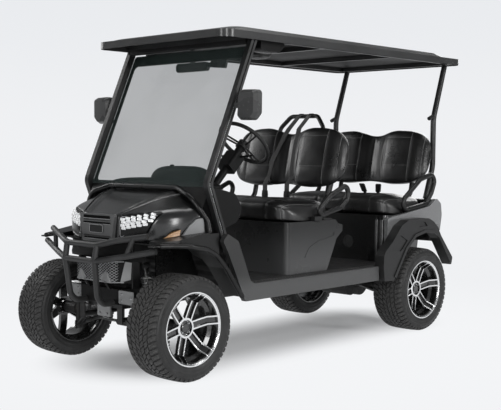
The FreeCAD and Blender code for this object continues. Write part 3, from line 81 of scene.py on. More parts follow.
class Wire:
    """A socket of a shader, so that sums, products and comparisons of it can be written down."""

    def __init__(self, socket):
        self.socket = socket

    def node(self, kind, settings=None, inputs=None, output=0):
        """Adds a node of that kind: its settings first, then its inputs, as values or as wires."""
        made = self.socket.id_data.nodes.new("ShaderNode" + kind)
        for name, value in (settings or {}).items():
            setattr(made, name, value)
        for name, value in (inputs or {}).items():
            if isinstance(value, Wire):
                self.socket.id_data.links.new(value.socket, made.inputs[name])
            else:
                made.inputs[name].default_value = value
        return Wire(made.outputs[output])

    def into(self, shader, name):
        self.socket.id_data.links.new(self.socket, shader.inputs[name])

    def maths(self, operation, first, second=0.0):
        return self.node("Math", {"operation": operation}, {0: first, 1: second})

    def __add__(self, other):
        return self.maths("ADD", self, other)

    def __sub__(self, other):
        return self.maths("SUBTRACT", self, other)

    def __rsub__(self, other):
        return self.maths("SUBTRACT", other, self)

    def __mul__(self, other):
        return self.maths("MULTIPLY", self, other)

    def __truediv__(self, other):
        return self.maths("DIVIDE", self, other)

    def __gt__(self, other):
        return self.maths("GREATER_THAN", self, other)

    def __lt__(self, other):
        return self.maths("LESS_THAN", self, other)

    def __mod__(self, other):
        return self.maths("FLOORED_MODULO", self, other)

    def __abs__(self):
        return self.maths("ABSOLUTE", self)

    __radd__ = __add__
    __rmul__ = __mul__

    def ramp(self, low, high, start=0.0, end=1.0):
        """Start below low, end above high, and a smooth change between them."""
        return self.node("MapRange", {"interpolation_type": "SMOOTHSTEP"},
                         {0: self, 1: low, 2: high, 3: start, 4: end})

    def blend(self, first, second):
        """The first colour where this is 0 and the second where it is 1."""
        return self.node("Mix", {"data_type": "RGBA"}, {0: self, 6: first, 7: second}, 2)

    def parts(self):
        """The three coordinates of a place or a direction."""
        return [self.node("SeparateXYZ", None, {0: self}, index) for index in range(3)]

    def noise(self, scale, detail=2.0):
        return self.node("TexNoise", None, {"Vector": self, "Scale": scale, "Detail": detail})

    def cells(self, scale, feature="F1", output=0):
        return self.node("TexVoronoi", {"feature": feature}, {"Vector": self, "Scale": scale}, output)

    def bump(self, distance, strength=1.0):
        """A bump from this height, whose full step is that distance in metres."""
        return self.node("Bump", None, {"Strength": strength, "Distance": distance, "Height": self})


def finish(name, plain=None):
    """A new finish: its material, its shader with plain values set on it, and the place on the piece."""
    material = bpy.data.materials.new(name)
    material.use_nodes = True
    shader = material.node_tree.nodes["Principled BSDF"]
    for socket, value in (plain or {}).items():
        shader.inputs[socket].default_value = value
    place = material.node_tree.nodes.new("ShaderNodeTexCoord").outputs["Object"]
    return material, shader, Wire(place)


def grey(value, tint=0.0):
    """A near-neutral colour, a little cooler with more tint."""
    return (value, value * (1 + tint * 0.5), value * (1 + tint), 1)


def lamp(name, at, towards, width, height, power):
    """A soft box that hangs at one point and faces another."""
    light = bpy.data.lights.new(name, "AREA")
    light.shape = "RECTANGLE"
    light.size = width
    light.size_y = height
    light.energy = power
    holder = bpy.data.objects.new(name, light)
    scene.collection.objects.link(holder)
    holder.location = at
    holder.rotation_euler = (Vector(towards) - Vector(at)).to_track_quat("-Z", "Y").to_euler()
    holder.visible_camera = False


pale_near, pale_far, pale_high = (0.900, 0.910, 0.926, 1), (0.868, 0.878, 0.896, 1), (0.820, 0.836, 0.862, 1)


def most(*wires):
    """The largest of several values."""
    highest = wires[0]
    for wire in wires[1:]:
        highest = highest.maths("MAXIMUM", highest, wire)
    return highest


def rays(tree, *kinds):
    """1 for a ray of one of these kinds, and 0 for the light that falls on the cart."""
    path = tree.nodes.new("ShaderNodeLightPath")
    return most(*(Wire(path.outputs["Is " + kind + " Ray"]) for kind in kinds))


def seamless(name, half):
    """A pale square sheet that keeps the cart's shadow near it and glows evenly to the eye further off."""
    mesh = bpy.data.meshes.new(name)
    corners = [(-half, -half, 0), (half, -half, 0), (half, half, 0), (-half, half, 0)]
    mesh.from_pydata(corners, [], [(0, 1, 2, 3)])
    sheet = bpy.data.objects.new(name, mesh)
    scene.collection.objects.link(sheet)
    material, shader, place = finish(name, {"Roughness": 0.9, "Specular IOR Level": 0.0})
    fleck = place.noise(1.3, 3.0).ramp(0.3, 0.7)
    fleck.blend(grey(0.86, 0.02), grey(0.90, 0.02)).into(shader, "Base Color")
    fleck.ramp(0, 1, 0.88, 0.94).into(shader, "Roughness")
    tree = material.node_tree
    glow = tree.nodes.new("ShaderNodeEmission")
    glow.inputs["Strength"].default_value = 1.0
    x, y = place.parts()[:2]
    past_axles = most(abs(y) - 1.05, 0.0)
    near_cart = place.maths("SQRT", x * x + past_axles * past_axles)
    away = place.maths("SQRT", x * x + y * y)
    away.ramp(1.2, 4.0).blend(pale_near, pale_far).into(glow, "Color")
    mix = tree.nodes.new("ShaderNodeMixShader")
    to_eye = rays(tree, "Camera", "Glossy", "Transmission")
    (to_eye * near_cart.ramp(0.10, 0.70, 0.12, 1.0)).into(mix, 0)
    tree.links.new(shader.outputs[0], mix.inputs[1])
    tree.links.new(glow.outputs[0], mix.inputs[2])
    tree.links.new(mix.outputs[0], tree.nodes["Material Output"].inputs["Surface"])
    mesh.materials.append(material)


seamless("studio_floor", 30)
world = bpy.data.worlds.new("studio")
world.use_nodes = True
scene.world = world
sky = world.node_tree.nodes["Background"]
height = Wire(world.node_tree.nodes.new("ShaderNodeTexCoord").outputs["Generated"]).parts()[2]
pale = height.ramp(0.0, 0.16).blend(pale_far, pale_high)
rays(world.node_tree, "Camera", "Transmission").blend((0.20, 0.203, 0.208, 1), pale).into(sky, "Color")
sky.inputs["Strength"].default_value = 1.0

lamp("overhead_lamp", (0.3, 0.2, 4.6), (0, 0, 0.6), 2.6, 4.2, 120)
lamp("front_lamp", (1.6, -5.8, 2.3), (0, -0.6, 0.7), 1.1, 2.4, 70)
lamp("side_lamp", (5.4, 1.9, 2.4), (0, 0.4, 0.7), 1.0, 2.8, 120)
lamp("strip_lamp", (5.0, -3.1, 1.9), (0, -0.3, 0.8), 0.95, 3.1, 115)
lamp("far_lamp", (-4.8, -1.6, 3.0), (0, 0, 0.8), 1.6, 2.6, 80)
lamp("rear_lamp", (-1.4, 5.4, 3.0), (0, 0.6, 0.9), 2.6, 2.2, 80)

# The chassis frame: a welded ladder of rectangular steel tube, powder coated in satin black, with a
# fine even grain and a little road dust low down; the same coat covers the housing of the rack.

def dress(material, *nodes):
    """Gives CAD nodes their finish."""
    for node in nodes:
        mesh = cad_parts[node].data
        mesh.materials.clear()
        mesh.materials.append(material)


def powder_coat(name, shade, roughness, grain=0.00035):
    """Baked powder on steel: an orange-peel skin, cloudy gloss, and dust on what lies low."""
    material, shader, place = finish(name, {"Specular IOR Level": 0.36})
    cloud = place.noise(7.0, 4.0).ramp(0.35, 0.65)
    dust = place.parts()[2].ramp(0.55, 0.12) * place.noise(24.0, 5.0).ramp(0.42, 0.72)
    coat = cloud.blend(grey(shade, 0.04), grey(shade * 1.5, 0.04))
    (dust * 0.35).blend(coat, (0.085, 0.078, 0.068, 1)).into(shader, "Base Color")
    (cloud.ramp(0, 1, roughness, roughness + 0.1) + dust * 0.2).into(shader, "Roughness")
    place.noise(520.0, 2.0).bump(grain).into(shader, "Normal")
    return material


frame_coat = powder_coat("black_powder_coat", 0.007, 0.36)
dress(frame_coat, "chassis_frame", "rack_housing")

# The axles: in front, wishbones of bent tube, coil-over dampers, cast knuckles and a steel rack;
# behind, a cast axle with its motor on leaf springs. Black or bare steel, bolted through bushes.

def raw_steel(name, shade, roughness):
    """Bare or plated steel: fine drawn lines, and dull stains where it has been handled."""
    material, shader, place = finish(name, {"Metallic": 1.0})
    stain = place.noise(38.0, 4.0).ramp(0.4, 0.75)
    stained = (shade * 0.55, shade * 0.55, shade * 0.52, 1)
    stain.blend(grey(shade, 0.03), stained).into(shader, "Base Color")
    stain.ramp(0, 1, roughness, roughness + 0.25).into(shader, "Roughness")
    place.noise(900.0, 2.0).bump(0.00012).into(shader, "Normal")
    return material


def cast_iron(name, shade):
    """Sand-cast metal under thin black paint: a pebbled skin that is duller in its hollows."""
    material, shader, place = finish(name, {"Specular IOR Level": 0.45})
    pebble = place.cells(260.0)
    worn = place.noise(30.0, 5.0).ramp(0.5, 0.72)
    worn.blend(grey(shade), (0.07, 0.066, 0.062, 1)).into(shader, "Base Color")
    (worn * 0.35).into(shader, "Metallic")
    pebble.ramp(0, 0.9, 0.5, 0.68).into(shader, "Roughness")
    pebble.bump(0.0005, 0.8).into(shader, "Normal")
    return material


def skin(name, points, faces, material, body, slot, crease=35.0):
    """A new piece of the cart from its points and faces, smooth up to that crease angle."""
    mesh = bpy.data.meshes.new(name)
    mesh.from_pydata([tuple(point) for point in points], [], faces)
    mesh.validate()
    shape = bmesh.new()
    shape.from_mesh(mesh)
    bmesh.ops.remove_doubles(shape, verts=shape.verts, dist=1e-6)
    bmesh.ops.recalc_face_normals(shape, faces=shape.faces)
    shape.to_mesh(mesh)
    shape.free()
    for polygon in mesh.polygons:
        polygon.use_smooth = True
    mesh.set_sharp_from_angle(angle=math.radians(crease))
    mesh.materials.append(material)
    piece = bpy.data.objects.new(name, mesh)
    scene.collection.objects.link(piece)
    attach(piece, body)
    return piece


def loft(rings, capped=True):
    """Points and faces that join rings of equal count, with each end filled when capped."""
    count = len(rings[0])
    points = [point for ring in rings for point in ring]
    faces = []
    for ring in range(len(rings) - 1):
        for index in range(count):
            after = (index + 1) % count
            faces.append((ring * count + index, ring * count + after,
                          (ring + 1) * count + after, (ring + 1) * count + index))
    if capped:
        faces.append(tuple(range(count))[::-1])
        faces.append(tuple(range((len(rings) - 1) * count, len(rings) * count)))
    return points, faces


def tube_rings(route, radius, sides=10, flat=None, face=None):
    """Rings along a route: round, or flat and wide with its broad side turned to a face."""
    rings = []
    for index, point in enumerate(route):
        ahead = route[min(index + 1, len(route) - 1)] - route[max(index - 1, 0)]
        ahead.normalize()
        up = Vector(face) if face else Vector((0.13, 0.21, 0.97))
        side = ahead.cross(up).normalized()
        up = side.cross(ahead).normalized()
        ring = []
        for step in range(sides):
            turn = 2 * math.pi * (step + 0.5) / sides
            wide = math.cos(turn)
            thin = math.sin(turn)
            if flat:
                wide = math.copysign(abs(wide) ** 0.25, wide) * flat
                thin = math.copysign(abs(thin) ** 0.5, thin)
            ring.append(point + side * wide * radius + up * thin * radius)
        rings.append(ring)
    return rings


casting = cast_iron("painted_casting", 0.016)
spring_steel = raw_steel("spring_steel", 0.42, 0.34)
dress(casting, "knuckle_left", "knuckle_right", "rear_axle", "drive_motor")
dress(frame_coat, "suspension_arms")
dress(spring_steel, "steering_rack")
dress(powder_coat("leaf_black", 0.014, 0.48), "leaf_springs")
dress(powder_coat("damper_black", 0.016, 0.3), "front_dampers")

SIDES = ((1, "left"), (-1, "right"))
coils, steps_a_coil, coil_radius, coil_wire = 8, 20, 0.0335, 0.0048
rearward = Vector((0, 1, 0))
low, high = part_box("front_dampers")
for side, label in SIDES:
    foot = Vector((side * (high.x - 0.012), front_axle, low.z + 0.017))
    head = Vector((side * (high.x - 0.096), front_axle, high.z - 0.017))
    out = (head - foot).normalized().cross(rearward).normalized()
    route = []
    for step in range(coils * steps_a_coil + 1):
        turn = 2 * math.pi * step / steps_a_coil
        middle = foot.lerp(head, 0.27 + 0.58 * step / (coils * steps_a_coil))
        route.append(middle + (out * math.cos(turn) + rearward * math.sin(turn)) * coil_radius)
    skin("coil_spring_" + label, *loft(tube_rings(route, coil_wire, 8)), spring_steel, "chassis",
         "bright_steel", 60.0)

# Tyres: low, wide all-terrain tyres of black rubber, moulded with slanting tread blocks that meet
# in arrows along the middle; each is seated on its wheel's beads.

TYRE_R = 0.292
TRACK_HALF = 0.5125
PITCHES = 52
BLOCK_ROWS = ((0.003, 0.0285, 0.80, 3), (0.0345, 0.0635, 0.78, 3), (0.070, 0.1175, 0.73, 5))


def join(*shapes):
    """Several lists of points and faces as one."""
    points, faces = [], []
    for more_points, more_faces in shapes:
        start = len(points)
        points += list(more_points)
        faces += [tuple(start + index for index in face) for face in more_faces]
    return points, faces


def crown(axial):
    """The tread's radius at a distance from the tyre's middle."""
    return float(np.interp(abs(axial), (0, 0.06, 0.1, 0.112, 0.1195),
                           (TYRE_R, 0.2912, 0.2885, 0.283, 0.2755)))


def slant(axial):
    """How far round the tyre a groove has run at a distance from the middle."""
    return float(np.interp(abs(axial), (0, 0.0285, 0.0635, 0.12), (0, 0.026, 0.050, 0.072)))


def tyre_shape(centre):
    """The carcass, from bead to bead over the groove floor, and its blocks in three rows a side."""
    half = ((0, 0.2835), (0.04, 0.2832), (0.075, 0.2822), (0.098, 0.2800), (0.111, 0.2750),
            (0.1185, 0.2680), (0.1235, 0.2575), (0.1262, 0.2465), (0.1268, 0.2425), (0.1275, 0.2415),
            (0.1275, 0.2375), (0.1268, 0.2365), (0.1268, 0.2260), (0.1262, 0.2180), (0.1240, 0.2120),
            (0.1215, 0.2085), (0.1212, 0.2062), (0.1182, 0.2040), (0.1120, 0.2035), (0.1120, 0.1930))
    profile = [(-axial, radius) for axial, radius in half[:0:-1]] + list(half)
    steps = 104
    rings = []
    for axial, radius in profile:
        rings.append([Vector((centre.x + axial, centre.y + radius * math.cos(turn),
                              centre.z + radius * math.sin(turn)))
                      for turn in (2 * math.pi * step / steps for step in range(steps))])
    shapes = [loft(rings, capped=False)]
    for side in (1, -1):
        for row, (inner, outer, share, cells) in enumerate(BLOCK_ROWS):
            for pitch_index in range(PITCHES):
                shapes.append(tread_block(centre, side, inner, outer, share, cells,
                                          pitch_index + 0.5 * (side < 0) + 0.33 * row))
    return join(*shapes)


def tread_block(centre, side, inner, outer, share, cells, place):
    """One block: a slanted patch of the crown with walls down into the groove floor."""
    step = 2 * math.pi / PITCHES
    grid = []
    for across_index in range(cells + 1):
        line = []
        for along_index in range(3):
            axial = inner + (outer - inner) * across_index / cells
            turn = (place + share * (along_index / 2 - 0.5)) * step + slant(axial) / TYRE_R
            line.append((side * axial, turn))
        grid.append(line)
    rim_cells = [(0, 0), (0, 1), (0, 2)] + [(index, 2) for index in range(1, cells + 1)]
    rim_cells += [(cells, 1), (cells, 0)] + [(index, 0) for index in range(cells - 1, 0, -1)]

    def at(axial, turn, sink, grow):
        radius = crown(axial) - sink
        middle_turn = place * step + slant(axial) / TYRE_R
        turn = middle_turn + (turn - middle_turn) * (1 + grow)
        return centre + Vector((axial, -radius * math.cos(turn), radius * math.sin(turn)))

    points = [at(axial, turn, 0, -0.03) for line in grid for axial, turn in line]
    faces = []
    for across_index in range(cells):
        for along_index in range(2):
            first = across_index * 3 + along_index
            faces.append((first, first + 1, first + 4, first + 3))
    start = len(points)
    for sink, grow in ((0.0015, 0.0), (0.0105, 0.08)):
        for across_index, along_index in rim_cells:
            points.append(at(*grid[across_index][along_index], sink, grow))
    count = len(rim_cells)
    for index in range(count):
        after = (index + 1) % count
        top = rim_cells[index][0] * 3 + rim_cells[index][1]
        top_after = rim_cells[after][0] * 3 + rim_cells[after][1]
        faces.append((top, top_after, start + after, start + index))
        faces.append((start + index, start + after, start + count + after, start + count + index))
    return points, faces


def wheel_place(place):
    """Distance out from a wheel's middle, radius and turn about its axle, for any of the four."""
    x, y, z = place.parts()
    axial = abs(x) - TRACK_HALF
    along = y - ((y > 0) * (rear_axle - front_axle) + front_axle)
    up = z - TYRE_R
    radius = place.maths("SQRT", along * along + up * up)
    turn = place.maths("ARCTAN2", up, 0 - along)
    return axial, radius, turn


def tyre_rubber():
    """Black rubber: fine cuts across the blocks, fins on the sidewall, and dust on the tread."""
    material, shader, place = finish("tyre_rubber", {"Specular IOR Level": 0.42})
    axial, radius, turn = wheel_place(place)
    wide = abs(axial)
    slanted = wide.ramp(0.0, 0.12, 0.0, 0.072)
    strip = (turn * TYRE_R - slanted) / (2 * math.pi * TYRE_R / PITCHES / 2) % 1.0
    sipe = (abs(strip - 0.5) < 0.035) * (radius > 0.274) * (wide < 0.117)
    tread = radius.ramp(0.270, 0.282)
    dust = tread * place.noise(60.0, 4.0).ramp(0.35, 0.7)
    ribs = radius.ramp(0.2430, 0.2440) * radius.ramp(0.2600, 0.2590)
    fins = (turn * 150.0 % 1.0 > 0.5) * ribs * (1 - tread)
    black = place.noise(9.0, 3.0).ramp(0.3, 0.7).blend(grey(0.010), grey(0.017))
    dusty = (dust * 0.4 + tread * 0.35).blend(black, (0.062, 0.061, 0.060, 1))
    # Painted shade: the fine cuts are painted near-black.
    sipe.blend(dusty, grey(0.003)).into(shader, "Base Color")
    (place.noise(14.0, 3.0).ramp(0.3, 0.7, 0.46, 0.62) + tread * 0.16).into(shader, "Roughness")
    relief = place.noise(700.0, 3.0) * 0.25 + fins * 0.35 - sipe
    relief.bump(0.0009).into(shader, "Normal")
    return material


rubber = tyre_rubber()
for corner in ("front_left", "front_right", "rear_left", "rear_right"):
    tyre = skin("tyre_" + corner + "_tread", *tyre_shape(middle_of("tyre_" + corner)), rubber,
                "wheel_" + corner, "tyre_rubber", 50.0)
    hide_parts("tyre_" + corner)

# Wheels: cast alloy with six pairs of ribs, painted gloss black all over and then turned on a
# lathe, so that the ribs' front edges and the lip are bright; held by lug nuts and a plain cap.

def turned_alloy():
    """Gloss black paint, and bare lathe-turned metal on the ribs' front line and on the lip."""
    material, shader, place = finish("black_and_turned_alloy", {"Coat Roughness": 0.06, "IOR": 1.5})
    axial, radius = wheel_place(place)[:2]
    facing = Wire(material.node_tree.nodes.new("ShaderNodeNewGeometry").outputs["Normal"])
    outward = facing.parts()[0] * place.maths("SIGN", place.parts()[0])
    near_hub = (radius - 0.050) * 0.1 + 0.0535
    middle = (radius - 0.110) * 0.2 + 0.0595
    climb = (radius - 0.150) * 1.365 + 0.0675
    edge = (radius - 0.1815) * 0.48 + 0.1105
    rib_front = place.maths("MINIMUM", edge, most(near_hub, middle, climb))
    cap_radius, rib_end, lip_radius, lip_out, cut_depth = 0.0405, 0.1960, 0.1968, 0.1150, 0.0035
    on_ridge = (axial > rib_front - cut_depth) * (outward > 0.25) * (radius > cap_radius) * (radius < rib_end)
    lip = (radius > lip_radius) * (axial > lip_out)
    bright = most(on_ridge, lip)
    turned = radius * 2200.0 % 1.0
    cloud = place.noise(22.0, 3.0).ramp(0.3, 0.7)
    black = cloud.blend(grey(0.006), grey(0.010))
    metal = cloud.blend(grey(0.80, 0.01), grey(0.90, 0.01))
    bright.blend(black, metal).into(shader, "Base Color")
    bright.into(shader, "Metallic")
    ((1 - bright) * 0.06 + 0.19 + cloud * 0.05).into(shader, "Roughness")
    (1 - bright).into(shader, "Coat Weight")
    (bright * turned * 0.6 + place.noise(300.0, 2.0) * 0.15).bump(0.00012).into(shader, "Normal")
    return material


def hex_bolt(at, along, size, thick=None):
    """A hexagon head with a washer under it, at a point and standing along a direction."""
    along = Vector(along).normalized()
    side = along.orthogonal().normalized()
    other = along.cross(side)
    thick = thick or size * 0.55
    rings = []
    for out, reach, six in ((0, 1.35, 0), (0.16, 1.35, 0), (0.2, 1.28, 0), (0.2, 1, 1),
                            (0.86, 1, 1), (1, 0.84, 1)):
        ring = []
        for step in range(12):
            turn = math.pi * step / 6
            grow = reach if not six or step % 2 == 0 else reach * math.cos(math.pi / 6)
            ring.append(Vector(at) + along * thick * out
                        + (side * math.cos(turn) + other * math.sin(turn)) * size * grow)
        rings.append(ring)
    return loft(rings)


alloy = turned_alloy()
nut_chrome = raw_steel("lug_nut_chrome", 0.55, 0.2)
for corner, axle in (("front_left", front_axle), ("front_right", front_axle),
                     ("rear_left", rear_axle), ("rear_right", rear_axle)):
    dress(alloy, "rim_" + corner)
    side = 1 if "left" in corner else -1

    def on_wheel(out, radius, turn):
        """A point of this wheel: out from its middle plane, at a radius and a turn from the rear."""
        return Vector((side * (TRACK_HALF + out), axle + radius * math.cos(turn),
                       TYRE_R + radius * math.sin(turn)))

    shapes = [hex_bolt(on_wheel(0.0415, 0.0338, math.pi * (0.25 + index / 2)), (side, 0, 0), 0.0052, 0.011)
              for index in range(4)]
    stem_foot = on_wheel(0.097, 0.176, math.radians(106))
    stem_tip = stem_foot + Vector((side * 0.017, 0, 0))
    shapes.append(loft(tube_rings([stem_foot, stem_foot.lerp(stem_tip, 0.7), stem_tip], 0.0035, 8)))
    skin("lug_nuts_" + corner, *join(*shapes), nut_chrome, "wheel_" + corner, "bright_steel", 30.0)

# The floor: a pressed deck under a black rubber mat with fine ribs from side to side, and moulded
# grey sills that are screwed to its edges between the wheels.

def moulded(name, shade, roughness, tint=0.02, grain=0.00035, scale=430.0, gloss=0.32, dust=None):
    """Injection-moulded plastic: pebbled grain, clouds of gloss, scuffs, and, with dust given, a painted
    floor reflection up to a height.
    """
    material, shader, place = finish(name, {"Specular IOR Level": gloss})
    cloud = place.noise(5.0, 4.0).ramp(0.32, 0.68)
    scuff = place.noise(46.0, 6.0).ramp(0.58, 0.78)
    body_colour = cloud.blend(grey(shade * 0.88, tint), grey(shade * 1.14, tint))
    if dust:
        # When dust is given, it paints a reflection of the pale floor: the colour turns lighter towards the
        # bottom, up to a height.
        low, high, floor_glow_shade = dust
        body_colour = place.parts()[2].ramp(low, high).blend(grey(floor_glow_shade, tint), body_colour)
    (scuff * 0.13).blend(body_colour, grey(shade * 1.8 + 0.002, 0.0)).into(shader, "Base Color")
    (cloud.ramp(0, 1, roughness - 0.03, roughness + 0.05) + scuff * 0.1).into(shader, "Roughness")
    place.cells(scale, "SMOOTH_F1").bump(grain).into(shader, "Normal")
    return material


def ribbed_rubber(name, shade, period):
    """A rubber mat with rounded ribs from side to side: painted shade darkens its grooves, and wear lightens
    the tops.
    """
    material, shader, place = finish(name, {"Specular IOR Level": 0.4})
    rib = place.maths("PINGPONG", place.parts()[1], period / 2) * (2 / period)
    tread = rib.ramp(0.2, 0.7)
    worn = place.noise(9.0, 5.0).ramp(0.4, 0.7)
    top = worn.blend(grey(shade), grey(shade * 1.9))
    # Painted shade: the grooves between the ribs are painted near-black.
    tread.blend(grey(0.005), top).into(shader, "Base Color")
    worn.ramp(0, 1, 0.5, 0.68).into(shader, "Roughness")
    (tread + place.noise(420.0, 2.0) * 0.15).bump(0.0022).into(shader, "Normal")
    return material


dress(ribbed_rubber("floor_mat_rubber", 0.016, 0.026), "floor")
# The sills are painted lighter towards the bottom: a painted reflection of the pale floor.
sill_grey = moulded("sill_grey", 0.024, 0.46, dust=(0.45, 0.56, 0.066))
dress(sill_grey, "sills")

# The seat boxes and rear body: rotation-moulded shells, bolted to the deck round the battery pack:
# the front one in satin charcoal, the rear one in deep gloss between grey side panels, with upright
# ribs at its front corners and two round speakers.

def deep_gloss(name, shade, roughness, flake=0.0, tint=0.03, metal=0.0, lacquer=0.05):
    """Coloured base under clear lacquer: fine flakes that catch the light, and a faint ripple."""
    material, shader, place = finish(name, {"Coat Roughness": lacquer, "Coat IOR": 1.5})
    sparkle = place.cells(1500.0, output=1).parts()[0]
    cloud = place.noise(3.5, 3.0).ramp(0.3, 0.7)
    base = cloud.blend(grey(shade, tint), grey(shade * 1.25, tint))
    (sparkle.ramp(0.55, 1.0) * flake).blend(base, grey(shade * 5, tint)).into(shader, "Base Color")
    (sparkle * 0.12 + roughness - 0.06).into(shader, "Roughness")
    (cloud * 0.1 + metal).into(shader, "Metallic")
    (1 - place.noise(17.0, 5.0).ramp(0.62, 0.8) * 0.25).into(shader, "Coat Weight")
    place.noise(42.0, 3.0).bump(0.00045).into(shader, "Normal")
    return material


def ease_edges(width, *nodes):
    """Rounds the sharp edges of CAD nodes a little, as a mould does, without touching their meshes."""
    for node in nodes:
        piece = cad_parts[node]
        weld = piece.modifiers.new("weld", "WELD")
        weld.merge_threshold = 0.00002
        bevel = piece.modifiers.new("bevel", "BEVEL")
        bevel.width = width
        bevel.segments = 2
        bevel.limit_method = "ANGLE"
        bevel.angle_limit = math.radians(40)
        weighted = piece.modifiers.new("weighted", "WEIGHTED_NORMAL")
        weighted.keep_sharp = False


ease_edges(0.008, "front_seat_box", "rear_body")
ease_edges(0.004, "sills", "rear_side_panels")
# The front box's sides are painted lighter towards the bottom: a painted reflection of the pale floor in the
# satin.
box_satin = moulded("seat_box_satin", 0.012, 0.30, 0.03, 0.0002, dust=(0.46, 0.84, 0.064))
dress(box_satin, "front_seat_box")
body_gloss = deep_gloss("rear_body_gloss", 0.006, 0.3, 0.25)
dress(body_gloss, "rear_body")
dress(moulded("battery_case_black", 0.012, 0.5), "battery_pack")
panel_satin = deep_gloss("side_panel_satin", 0.098, 0.44, 0.5, 0.03, 0.35)
dress(panel_satin, "rear_side_panels")


def bulge(value, power):
    """A cosine or sine made squarer, for outlines with soft corners."""
    return math.copysign(abs(value) ** power, value)


def soft_ring(middle, wide, tall, powers=(1.0, 1.0), count=32, start=0.0):
    """A ring round a middle, out to two half widths: round, or squarer the lower the powers are."""
    ring = []
    for step in range(count):
        turn = 2 * math.pi * (step + start) / count
        ring.append(middle + wide * bulge(math.cos(turn), powers[0])
                    + tall * bulge(math.sin(turn), powers[1]))
    return ring


sideways, rise_up = Vector((1, 0, 0)), Vector((0, 0, 1))
ribs = []
for side in (1, -1):
    for x, y, radius in ((0.500, 1.8930, 0.0165), (0.452, 1.8965, 0.0120)):
        foot = Vector((side * x, front_axle + y, 0.474))
        route = [foot + rise_up * rise for rise in (0, 0.004, 0.312, 0.318)]
        ribs.append(loft(tube_rings(route, radius, 16)))
skin("rear_body_corner_ribs", *join(*ribs), deep_gloss("rib_gloss", 0.010, 0.25, 0.1, lacquer=0.12),
     "chassis", "body_paint", 60.0)

speaker_cone = moulded("speaker_cone", 0.022, 0.5)
cone_profile = ((0.045, 0.000), (0.0445, -0.0035), (0.040, -0.0045), (0.0385, -0.002), (0.036, 0.002),
                (0.018, 0.0075), (0.0165, 0.0055), (0.010, 0.0020), (0.001, 0.0005))
for side, label in SIDES:
    middle = Vector((side * 0.203, front_axle + 1.9045, 0.625))
    rings = [soft_ring(middle + rearward * deep, sideways * radius, rise_up * radius)
             for radius, deep in cone_profile]
    skin("box_speaker_" + label, *loft(rings), speaker_cone, "chassis", "trim_plastic")

# Tail lamps: upright lenses of clear red plastic with moulded prisms inside, pressed into cut-outs
# of the rear body.

def prism_lens(name, colour, dark, cell):
    """A clear coloured lens over a reflector whose small prisms break the light into squares."""
    material, shader, place = finish(name, {"Coat Weight": 1.0, "Coat Roughness": 0.03, "IOR": 1.49})
    x, y, z = place.parts()
    facet = place.maths("PINGPONG", x + y * 0.6, cell) / cell * (place.maths("PINGPONG", z, cell) / cell)
    facet.ramp(0.05, 0.8).blend(dark, colour).into(shader, "Base Color")
    facet.ramp(0, 1, 0.32, 0.12).into(shader, "Roughness")
    facet.bump(0.0012, 0.5).into(shader, "Normal")
    return material


dress(prism_lens("red_prism_lens", (0.50, 0.012, 0.008, 1), (0.12, 0.002, 0.002, 1), 0.006), "tail_lamps")

# Fenders: flares of black grained plastic with a rolled lip, and an inner liner that keeps water
# off the chassis; they are held by screws along the flare.

fender_plastic = moulded("fender_plastic", 0.004, 0.30, 0.02, 0.0002)
dress(fender_plastic, "front_fenders")
ease_edges(0.0015, "front_fenders", "rear_fenders")
dress(moulded("flare_plastic", 0.014, 0.36, 0.02, 0.0003), "rear_fenders")

# The front cowl: one glossy moulding in dark metallic paint with a crease from each corner of the
# grille up to the hoop, clipped round the dashboard; the wedge behind its lamp is bare grey.

cowl_paint = deep_gloss("cowl_metallic_paint", 0.008, 0.30, 0.8, 0.05, 0.5, 0.19)


def hull_of(node):
    """A CAD node's surface, to set small pieces on it."""
    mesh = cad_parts[node].data
    return BVHTree.FromPolygons([vertex.co for vertex in mesh.vertices],
                                [polygon.vertices for polygon in mesh.polygons])


def from_front(hull, x, z):
    """Where a look from ahead of the cart meets a surface, and the surface's normal there."""
    return hull.ray_cast(Vector((x, front_axle - 1, z)), rearward)[:2]


def rounded_shell(node, voxel, passes, material, body):
    """A thick moulding with its edges eased all over, as it leaves the mould."""
    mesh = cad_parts[node].data.copy()
    shell = bpy.data.objects.new(node + "_shell", mesh)
    scene.collection.objects.link(shell)
    remesh = shell.modifiers.new("skin", "REMESH")
    remesh.mode = "VOXEL"
    remesh.voxel_size = voxel
    remesh.use_smooth_shade = True
    relax = shell.modifiers.new("ease", "SMOOTH")
    relax.factor = 0.5
    relax.iterations = passes
    eased = bpy.data.meshes.new_from_object(shell.evaluated_get(bpy.context.evaluated_depsgraph_get()))
    shell.modifiers.clear()
    shell.data = eased
    eased.materials.clear()
    eased.materials.append(material)
    for polygon in eased.polygons:
        polygon.use_smooth = True
    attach(shell, body)
    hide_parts(node)
    return shell


